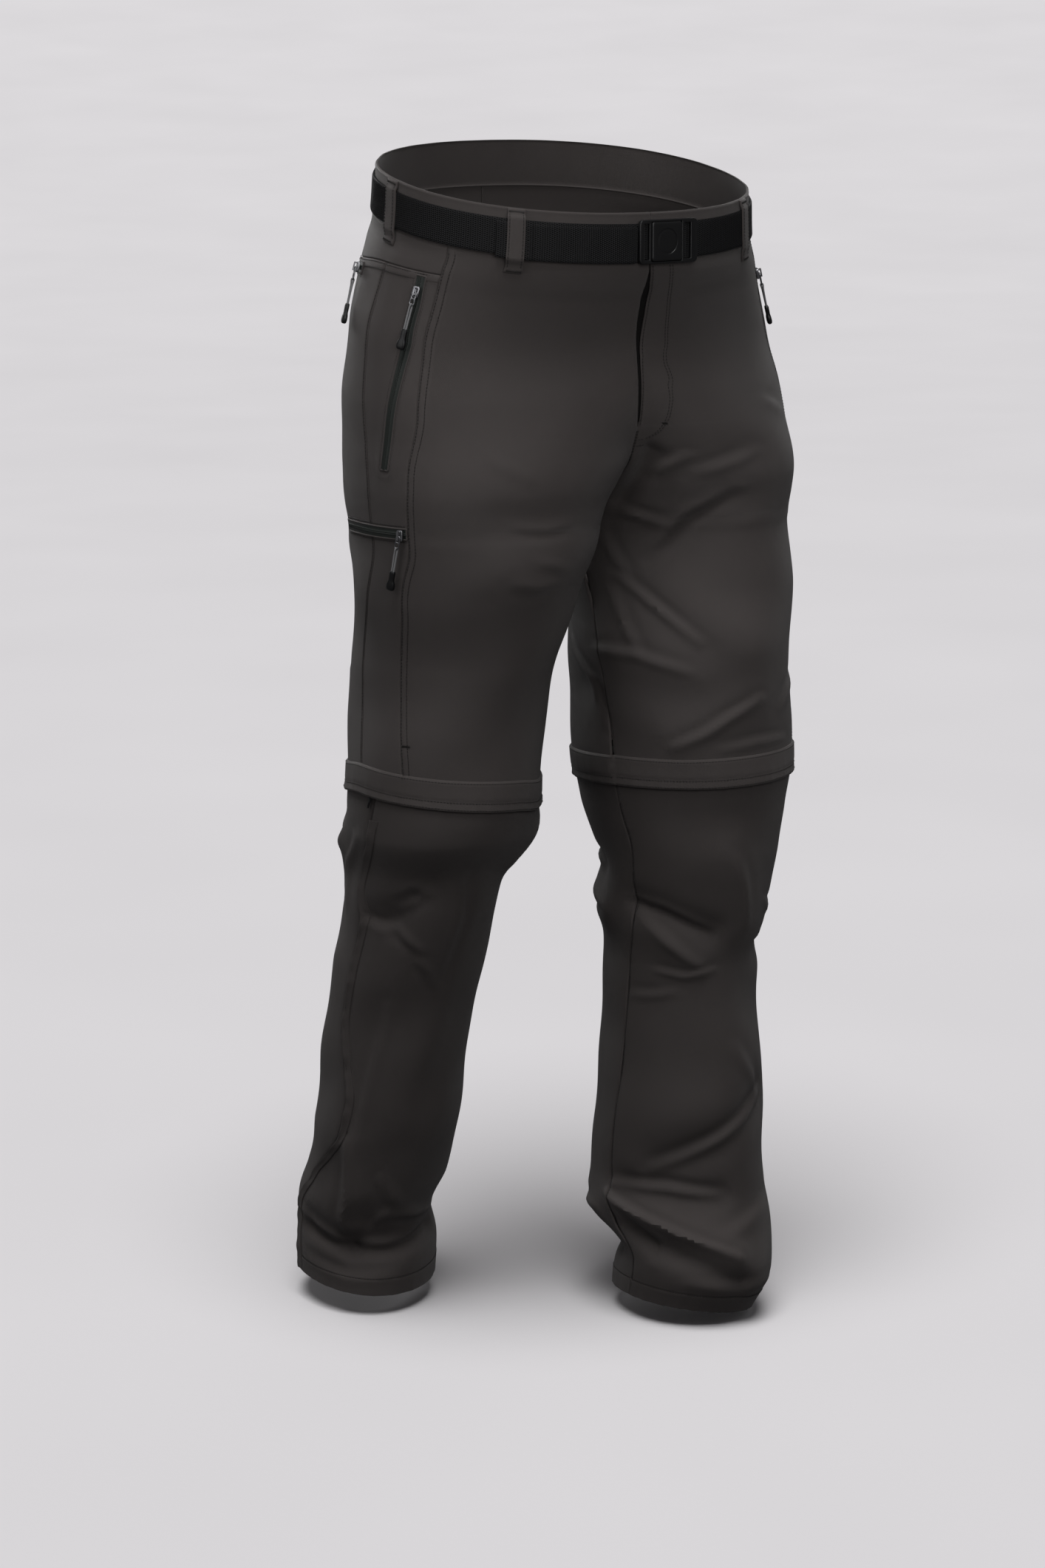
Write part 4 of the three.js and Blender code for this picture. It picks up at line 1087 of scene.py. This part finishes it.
def ribs(out, low, high, tip=None):
    """Webbing relief: upright ribs between two bound edges"""
    def relief(at, z):
        rib = 0.22 * np.cos(math.tau * at / RIB)
        edge = np.minimum(z - low, high - z)
        bound = smooth_step(0, 1.4, edge)
        wander = 0.25 * ripple(at * 0.35 + z * 0.2, 11)
        thicker = 0.0 if tip is None else 0.8 * smooth_step(tip - 3, tip, at)
        return out - 0.25 + rib * bound - 0.5 * (1 - bound) + wander + thicker
    return relief


def webbing():
    rows = np.array([0, 0.5, 1.3, 2.6, 9, 15.5, 22, 28.4, 29.7, 30.5, 31])
    runs = waist_runs(0.5, BELT_JOINT_X, RIB / 4, ahead=BELT_JOINT_X - 0.3)
    band("belt_webbing", runs, BELT_HALF - rows, ribs(BELT_OUT, -BELT_HALF, BELT_HALF),
         ["belt"], thick=1.5, paint=WEBBING, slot="webbing")
    start_x = BUCKLE_WIDE / 2 - BUCKLE_X + 0.6
    tail = even_runs([("right", np.linspace(float(angle_at_x("right", 0.0, start_x)),
                                            TAIL_END, 200))], RIB / 4)
    _, angles, at = tail[0]
    top = BELT_HALF - TAIL_DROP
    low = top - 2 * BELT_HALF
    band("belt_tail_webbing", tail, top - rows, ribs(TAIL_OUT, low, top, at[-1] - TIP_LONG),
         ["belt_tail"], thick=1.7, paint=WEBBING, slot="webbing")
    fold = len(angles) - round((TIP_LONG - 2) / (RIB / 4))
    z = np.linspace(top - 1.5, low + 1.5, 30)
    sew_line("belt_tail", "right", z, angles[fold] + 0 * z, TAIL_OUT + 0.9)


def waistband():
    runs = waist_runs(0.2, 0.2, 2.6)
    z = np.array([25, 24.6, 24, 23.2, 22.4, 21.4, 19, 15, 10, 4, -2, -8, -13, -15.4, -16.2,
                  -16.7, -17])

    def relief(at, height):
        top = BAND_TOP - height
        rolled = -0.7 * bell(top, 0.6) + 0.25 * bell(top - 1.6, 1.4)
        wavy = 0.45 * ripple(at * 0.25, 21) * np.exp(-top / 14)
        return rolled + wavy + turned(height - BAND_BOTTOM)

    band("waistband_cloth", runs, z, relief, ["waistband"], cut=CUTS["waistband"], thick=1.5,
         rests="belt_webbing")


LOOPS = [("right", 41, TAIL_OUT), ("right", 92, BELT_OUT), ("right", 139, BELT_OUT),
         ("left", 180, BELT_OUT), ("left", 139, BELT_OUT), ("left", 92, BELT_OUT),
         ("left", 43, BELT_OUT)]


def belt_loop(number, side, angle, over):
    """A strip folded in at its top, passed over the belt and tacked below the waistband"""
    far, near = over + LAYER_GAP + LOOP_THICK, REST + LOOP_THICK
    z, out = interpolated([(BAND_TOP - 0.6, 0.6), (BAND_TOP - 1.2, near + 0.2),
                           (BAND_TOP - 5, near + 0.5), (BELT_HALF + 1.4, far),
                           (-BELT_HALF - 3.2, far + 0.1), (-BELT_HALF - 8, near + 0.6),
                           (LOOP_BOTTOM + 1, near + 0.1), (LOOP_BOTTOM, 0.5)], 46)
    lean = 1.2 * math.sin(number * 2.3)
    half = LOOP_WIDTH / 2
    side_rows = half - np.array([0, 0.35, 1, LOOP_STITCH, 2.6, 5])
    aside = np.concatenate([-side_rows, [0], side_rows[::-1]])
    slant = lean * (z - BAND_TOP) / (LOOP_BOTTOM - BAND_TOP)
    angles = moved(side, 0.0, angle, aside[None, :] + slant[:, None])
    edge = half - np.abs(aside)
    relief = out[:, None] + turned(edge)[None, :] * 0.5 + 0.6 * sunk(edge, LOOP_STITCH)[None, :]
    name = f"belt_loop_{number}"
    sheet_piece(f"{name}_cloth", folded_point(side, z[:, None], angles), SIGN[side], relief,
                CUTS["belt_loop"], [name], thick=1.2, rests="waistband_cloth")
    for row in (LOOP_STITCH - half, half - LOOP_STITCH):
        keep = slice(3, -3)
        spots = moved(side, 0.0, angle, row + slant)
        fine = np.linspace(0, 1, 160)
        share = np.linspace(0, 1, len(z))[keep]
        sew_line("belt_loops", side, np.interp(fine, share, z[keep]),
                 np.interp(fine, share, spots[keep]), np.interp(fine, share, out[keep]) + 0.02)
    for level, lift in ((BAND_TOP - 3.4, near + 0.35), (LOOP_BOTTOM + 2.6, near + 0.15)):
        bar_tack("belt_loops", side, level, angle, LOOP_WIDTH - 2.5, lift)


def fly_shield():
    """The fly's under layer, seen through the slit, in a near-black copy of the cloth that is
    painted shade
    """
    z = np.linspace(BAND_BOTTOM - 0.5, FLY_END + 4, 90)
    rows = []
    for x in (-12, -8, -4, 0, 4, 8, 12):
        side = "right" if x < 0 else "left"
        rows.append(folded_point(side, z, angle_at_x(side, z, max(abs(x), 0.6))))
    grid = np.stack(rows, 1)
    sheet_piece("fly_shield_cloth", grid, 1, -2.9 + 0 * grid[..., 0], CUTS["fly_shield"],
                ["fly_shield"], paint=CLOTH_PAINTED_SHADE, thick=0.9)


# Zips
def zip_frame(side, route, level):
    """A zip's length, and a function for places along it and beside it"""
    span = np.linspace(0, len(route) - 1, 400)
    z, angle = (np.interp(span, range(len(route)), column) for column in zip(*route))
    long = distances(smooth_point(side, z, angle))

    def beside(at, aside):
        zs, angles = np.interp(at, long, z), np.interp(at, long, angle)
        if level:
            return zs + aside, angles + 0 * aside
        return zs + 0 * aside, moved(side, zs, angles, aside)

    return long[-1], beside


TOOTH = 1.35


def zip_strip(name, side, route, level=False):
    whole, beside = zip_frame(side, route, level)
    at = np.arange(0, whole, TOOTH / 4)[:, None]
    half = np.array([0.2, 0.7, 1.3, 1.8, 2.4, 4.4, 4.75])
    across = np.concatenate([-half[::-1], [0], half])[None, :]
    z, angle = beside(at, across)
    coil = np.clip(1 - (across / 1.75) ** 4, 0, 1)
    tooth = 0.5 + 0.5 * np.cos(math.tau * at / TOOTH + math.pi * (across > 0))
    parting = 0.35 * bell(across, 0.3)
    relief = 0.75 + coil * (0.35 + 0.5 * tooth) - parting - 0.7 * smooth_step(
        4.3, 4.75, np.abs(across))
    normals = outward(side, z, angle)
    laid(f"{name}_tape", folded_point(side, z, angle) + normals * relief[..., None], normals, 0.8,
         meshed(across, at), [name], paint=TAPE, slot="zip_tape")
    border(name, side, beside, whole)


def border(name, side, beside, whole):
    """The folded cloth edge round a zip, and the stitches beside it"""
    half = TAPE_WIDE / 2 + 0.1
    run = np.linspace(0, whole, 120)
    corner = np.linspace(0, math.pi, 9)[1:-1]
    at = np.concatenate([run, whole + 0.6 * np.sin(corner), run[::-1], -0.6 * np.sin(corner)])
    aside = np.concatenate([half + 0 * run, half * np.cos(corner), -half + 0 * run,
                            -half * np.cos(corner)])
    z, angle = beside(at, aside)
    normals = outward(side, z, angle)
    path = folded_point(side, z, angle) + 0.5 * normals
    tube(f"{name}_welt", path, 0.8, 0.75, CLOTH, normals, closed=True)
    at = np.concatenate([run, whole + 1.6 + 0 * corner, run[::-1]])
    outside = half + 2.2
    aside = np.concatenate([outside + 0 * run, outside * np.cos(corner), -outside + 0 * run])
    z, angle = beside(at, aside)
    sew_line("zips", side, z, angle, 0.35)


TUBE_SIDES = 10


def tube(name, path, wide, thick, paint, out, body="root", closed=False, nodes=()):
    """A rounded length along a path, wide beside it and thick outward"""
    ahead = unit(np.roll(path, -1, 0) - np.roll(path, 1, 0) if closed
                 else np.gradient(path, axis=0))
    aside = unit(np.cross(ahead, np.broadcast_to(out, path.shape)))
    out = unit(np.cross(aside, ahead))
    turns = np.linspace(0, math.tau, TUBE_SIDES, endpoint=False)
    wide, thick = (np.broadcast_to(size, len(path))[:, None] for size in (wide, thick))
    points = (path[:, None] + aside[:, None] * (wide * np.cos(turns))[..., None]
              + out[:, None] * (thick * np.sin(turns))[..., None]).reshape(-1, 3)
    long = distances(path)
    weave = meshed(turns * wide.mean(), long[:, None]).reshape(-1, 2)
    at = numbered(len(path), TUBE_SIDES)
    if closed:
        faces = [quads(np.vstack([at, at[:1]]), -1)]
    else:
        first = len(points)
        points = np.concatenate([points, path[[0, -1]]])
        weave = np.concatenate([weave, [[0, 0], [0, long[-1]]]])
        faces = [quads(at, -1), fan(first, at[0], -1), fan(first + 1, at[-1])]
    new_piece(name, points, faces, paint, body=body, nodes=nodes, weave=weave, crisp=60)


# Hard pieces are drawn in frames of their own: X along the cloth, Y out, Z up
def frame_at(origin, out, above):
    x = unit(np.cross(out, above))
    return np.stack([x, unit(out), unit(np.cross(x, out))], 0), origin


def placed(points, place):
    axes, origin = place
    return np.asarray(points, float) @ axes + origin


def eased(name, node, width, paint):
    """A frame solid with its edges eased"""
    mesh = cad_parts[node].data.copy()
    mesh.name = name
    mesh.materials.clear()
    mesh.materials.append(paint)
    for layer in list(mesh.uv_layers):
        mesh.uv_layers.remove(layer)
    bm = bmesh.new()
    bm.from_mesh(mesh)
    bmesh.ops.remove_doubles(bm, verts=bm.verts, dist=1e-5)
    bmesh.ops.dissolve_limit(bm, angle_limit=math.radians(1), verts=bm.verts, edges=bm.edges)
    for edge in bm.edges:
        edge.smooth = True
    bm.to_mesh(mesh)
    bm.free()
    mesh.shade_smooth()
    piece = added(name, mesh)
    bevel = piece.modifiers.new("eased", "BEVEL")
    bevel.width = width * MM
    bevel.segments = 3
    bevel.limit_method = "ANGLE"
    bevel.angle_limit = math.radians(30)
    bevel.harden_normals = True
    belongs(piece, "root", [node])


def rounded(side, corner, count):
    """A square with round corners, as evenly spaced points of X and Z"""
    line = []
    for i, (x, z) in enumerate(((1, 1), (-1, 1), (-1, -1), (1, -1))):
        turns = (i + np.linspace(0, 1, 12)) * math.pi / 2
        line.append(meshed(x * (side / 2 - corner) + corner * np.cos(turns),
                           z * (side / 2 - corner) + corner * np.sin(turns)))
    line = np.concatenate(line + [line[0][:1]])
    return along(line, np.linspace(0, line_length(line), count, endpoint=False))


def layered(name, layers, place, paint, body="root", nodes=(), weave=None):
    """A closed form through rings of equal count, given as points, with its ends filled"""
    layers = np.asarray(layers, float)
    points = placed(np.concatenate([layers.reshape(-1, 3), layers[[0, -1]].mean(1)]), place)
    at = numbered(*layers.shape[:2])
    sides = quads(at)
    ends = np.concatenate([fan(len(points) - 2, at[0]), fan(len(points) - 1, at[-1], -1)])
    if volume(points, np.concatenate([sides, np.hstack([ends, ends[:, 2:]])])) < 0:
        sides, ends = sides[:, ::-1], ends[:, ::-1]
    new_piece(name, points, [sides, ends], paint, body=body, nodes=nodes, weave=weave,
              crisp=40)


def at_depth(x, z, depth):
    """A ring of points that stands out by a depth"""
    return meshed(x, depth, z)


def buckle():
    angle = float(angle_at_x("left", 0.0, BUCKLE_X))
    out = outward("left", 0.0, angle)
    place = frame_at(cloth("left", 0.0, angle, BELT_OUT + LAYER_GAP), out, np.array([0, 0, 1.0]))
    eased("buckle_frame_moulded", "buckle_frame", 0.7, PLASTIC)
    layers = [at_depth(*rounded(PLATE_SIDE - 2 * inset, max(2 - inset / 3, 0.8), 96).T, depth)
              for inset, depth in ((0, 0), (0, 3.5), (0.25, 4.1), (0.9, 4.5), (1.8, 4.6),
                                   (4.2, 4.65))]
    turns = np.arctan2(layers[-1][:, 2], layers[-1][:, 0])
    layers += [at_depth(radius * np.cos(turns), radius * np.sin(turns), depth)
               for radius, depth in ((11.6, 4.65), (11.2, 4.6), (10.9, 4.2), (10.4, 4.15),
                                     (10.0, 4.3), (8, 4.35), (4, 4.4))]
    layered("buckle_plate_moulded", np.array(layers) + [PLATE_PLACE, 0, 0], place, PLASTIC,
            nodes=["buckle_plate"])
    for name, x, wide in (("right", PLATE_PLACE - 23.1, 6.6), ("left", PLATE_PLACE + 22.1, 4.8)):
        rows = np.linspace(-15.1, 15.1, 104)[:, None]
        turns = np.linspace(0, math.tau, 20, endpoint=False)
        rib = 0.12 * np.cos(math.tau * rows / 1.6)
        half = wide / 2
        ring = meshed(x + half * powered(np.cos(turns), 0.7),
                      1.2 + (1.5 + rib) * powered(np.sin(turns), 0.8), rows)
        weave = np.concatenate([meshed(turns * half, rows).reshape(-1, 2), np.zeros((2, 2))])
        layered(f"belt_wrap_{name}", ring, place, WEBBING, weave=weave)


SLIDER_THICK = 2.2
BRIDGE_GAP = 2
PIVOT_OUT = SLIDER_THICK + BRIDGE_GAP / 2
TAB_LONG = 13
TAB_BAR = 0.5
CORD_LONG = 20
END_LONG = 18
PULL_LONG = TAB_LONG + CORD_LONG + END_LONG
PULLS = [("hand_right", "right", -62, 71), ("hand_left", "left", -62, 71),
         ("cargo", "right", -278, 71), ("back", "right", -61.5, 107)]


# A pull's strand from the moulded end to its bend in the ring, and the moulded end's rings as
# distance down, width and thickness
STRAND = np.array([(1.0, 0, -34), (1.0, 0.05, -28), (1.05, 0.15, -22), (0.95, 0.3, -17),
                   (0.75, 0.6, -14.2), (0.5, 1.0, -12.6), (0.25, 0.9, -11.2), (0, 0, -10.5)])
END_RINGS = ((0, 3.4, 3.0), (0.5, 4.6, 3.5), (1.6, 5.2, 3.8), (5, 5.4, 3.8), (8.2, 5.2, 3.6),
             (9.6, 6.2, 4.0), (11, 7.6, 4.4), (13, 8.3, 4.6), (15.4, 8.2, 4.6), (17, 7.2, 4.0),
             (17.8, 5.0, 2.8), (18, 3.0, 1.6))


def pull(name, side, z, angle):
    """A slider, and the ring, two-strand cord and moulded end that hang from it"""
    seat = REST + TAPE_THICK + 0.6
    origin = cloth(side, float(z), float(angle), seat)
    below = cloth(side, float(z - PULL_LONG), float(angle), seat + 1)
    if SIGN[side] * (below[0] - origin[0]) <= 0:
        below = np.array([origin[0], origin[1], below[2]])
    upward = unit(origin - below)
    out = outward(side, float(z), float(angle))
    out = unit(out - upward * out.dot(upward))
    body = f"pull_{name}"
    eased(f"slider_{name}_cast", f"slider_{name}", 0.45, METAL)
    place = frame_at(origin + out * PIVOT_OUT, out, upward)
    out = place[0][1]
    half, low = 2.1, TAB_BAR - TAB_LONG + 0.5
    turns = np.linspace(0, math.pi, 13)
    waist = np.linspace(-half, low + half, 12)[1:-1]
    pinch = 0.55 * bell(waist + 6, 1.8)
    ring = np.concatenate([
        meshed(half * np.cos(turns), 0, (half - 0.1) * np.sin(turns) - half),
        meshed(-half + pinch[::-1], 0, waist[::-1]),
        meshed(-half * np.cos(turns), 0, low + half - half * np.sin(turns)),
        meshed(half - pinch, 0, waist)])
    tube(f"pull_tab_{name}_ring", placed(ring, place), 0.55, 0.5, METAL, out,
         body=body, closed=True, nodes=[f"pull_tab_{name}"])
    tube(f"pull_bar_{name}", placed(meshed(np.linspace(-1.5, 1.5, 7), 0, -6), place), 0.5,
         0.45, METAL, out, body=body)
    line = np.concatenate([STRAND, STRAND[-2::-1] * [-1, -1, 1]])
    fine = along(line, np.linspace(0, line_length(line), 60))
    fine[1:-1] = (fine[:-2] + 2 * fine[1:-1] + fine[2:]) / 4
    tube(f"pull_cord_{name}_strands", placed(fine, place), 0.82, 0.82, CORD, out,
         body=body, nodes=[f"pull_cord_{name}"])
    top = TAB_BAR - TAB_LONG - 0.6 - CORD_LONG
    turns = np.linspace(0, math.tau, 28, endpoint=False)
    rings = [at_depth(wide / 2 * powered(np.cos(turns), 0.65), top - down,
                      thick / 2 * powered(np.sin(turns), 0.65))
             for down, wide, thick in END_RINGS]
    layered(f"pull_end_{name}_moulded", rings, place, PLASTIC, body=body,
            nodes=[f"pull_end_{name}"])


# Sewing lines on the panels
def sew_thigh(side):
    group = f"thigh_{side}"
    knee = KNEE + 5
    for at in LAP_STITCHES:
        sew_seam(group, side, front_seam, -20, knee, -at, 0.45)
        angles = np.linspace(66, 178, 220)
        sew_line(group, side, yoke_seam(angles) - at, angles, 0.45)
    sew_seam(group, side, out_seam, -50, knee, SINGLE_STITCH, 0.1)
    sew_seam(group, side, partial(front_start, side), FLY_END - 2, -285, SINGLE_STITCH, 0.1)
    sew_seam(group, side, partial(back_end, side), -84, -285, -SINGLE_STITCH, 0.1)
    bar_tack(group, side, -469, 44.5 - 3.4, 7.5, 0.5)
    around = IN_SEAM[-1][1] + np.linspace(0, TURN, TURN + 4)
    sew_line(f"lower_{side}", side, HEM + HEM_HIGH, around, 0.3)
    sew_seam(f"lower_{side}", side, in_seam, -540, HEM + 2, SINGLE_STITCH, 0.1)


def sew_fly():
    j_line = curve([(-19, 5.5), (-60, 6), (-101, 6), (-129, 2.8), (-150, -2.5),
                    (-173, -10.8), (-191, -22), (-199, -30.5)])
    z = np.linspace(-19, -198.5, 260)
    for gap in (0, 3.2):
        sew_line("fly", "left", z, j_line(z) + gap / mm_per_degree("left", z, 5.0), 0.15)
    bar_tack("fly", "left", -182, -15.2, 4.5, 0.1)
    for level in (-198.5, -205):
        across = np.linspace(1.5, 11, 20)
        start = front_start("left", level)
        sew_line("fly", "left", level + 0 * across, moved("left", level, start, across), 0.1)
    edge = np.linspace(-19, FLY_END, 200)
    sew_line("fly", "left", edge, front_start("left", edge)
             + 1.8 / mm_per_degree("left", edge, 0.0), 0.1)


# Camera, floor and light
def aimed(name, data, place, toward):
    """An object that faces along a direction"""
    made = added(name, data)
    made.location = place
    made.rotation_mode = "QUATERNION"
    made.rotation_quaternion = toward.to_track_quat("-Z", "Y")
    return made


def toward_azimuth(azimuth, elevation=0):
    a, e = math.radians(azimuth), math.radians(elevation)
    return Vector((math.sin(a) * math.cos(e), -math.cos(a) * math.cos(e), math.sin(e)))


def look():
    bpy.context.scene.view_settings.view_transform = "Standard"
    data = bpy.data.cameras.new("camera")
    data.lens = CAMERA_LENS
    data.sensor_width = 36
    bpy.context.scene.camera = aimed("camera", data, CAMERA_PLACE,
                                     toward_azimuth(180 - CAMERA_HEADING, -CAMERA_DIP))


def add_light(name, kind, power, place, toward):
    data = bpy.data.lights.new(name, kind)
    data.energy = power
    return aimed(name, data, place, toward)


def studio():
    """A wide bowl of floor, a pale sky, a sun, and soft boxes that leave the floor out"""
    rings, spokes = 60, 96
    reach = FLOOR_REACH * np.linspace(0, 1, rings)[:, None] ** 3
    rise = FLOOR_RISE * (np.hypot(np.maximum(reach - FLOOR_LEVEL, 0), FLOOR_ROUND)
                         - FLOOR_ROUND)
    turns = np.linspace(0, math.tau, spokes, endpoint=False)
    points = meshed(reach * np.cos(turns), reach * np.sin(turns), rise).reshape(-1, 3)
    mesh = bpy.data.meshes.new("floor")
    mesh.from_pydata(points.tolist(), [], quads(numbered(rings, spokes)).tolist())
    mesh.validate()
    mesh.shade_smooth()
    mesh.materials.append(PALE)
    floor = added("floor", mesh)
    floor.location = (0, 0, CAD_BOX[0].z - FLOOR_GAP)
    floor.visible_diffuse = floor.visible_glossy = False
    world = bpy.data.worlds.new("studio")
    world.use_nodes = True
    backing = world.node_tree.nodes["Background"]
    backing.inputs["Color"].default_value = (1.0, 0.985, 1.005, 1)
    backing.inputs["Strength"].default_value = SKY
    bpy.context.scene.world = world
    azimuth, elevation, power, soft = SUN
    toward = toward_azimuth(azimuth, elevation)
    sun = add_light("sun", "SUN", power, toward * 4, -toward)
    sun.data.angle = math.radians(soft)
    unlit = bpy.data.collections.new("not_lit_by_boxes")
    unlit.objects.link(floor)
    for name, azimuth, away, high, power in BOXES:
        place = toward_azimuth(azimuth) * away + Vector((0, 0, high))
        box = add_light(name, "AREA", power, place, BOX_AIM - place)
        box.data.size = BOX_SIDE
        box.light_linking.receiver_collection = unlit
    unlit.collection_objects[0].light_linking.link_state = "EXCLUDE"


look()
studio()
webbing()
waistband()
fly_shield()
for leg in SIDES:
    thigh(leg)
    knee_zip(leg)
    knee_flap(leg)
    lower_leg(leg)
    placket(leg)
    zip_strip(f"hand_zip_{leg}", leg, HAND_ZIP)
    sew_thigh(leg)
zip_strip("cargo_zip", "right", CARGO_ZIP, level=True)
zip_strip("back_zip", "right", BACK_ZIP, level=True)
for i, (leg, around, over) in enumerate(LOOPS):
    belt_loop(i + 1, leg, around, over)
buckle()
for item in PULLS:
    pull(*item)
knee_zip_tab()
sew_fly()
make_sewing()
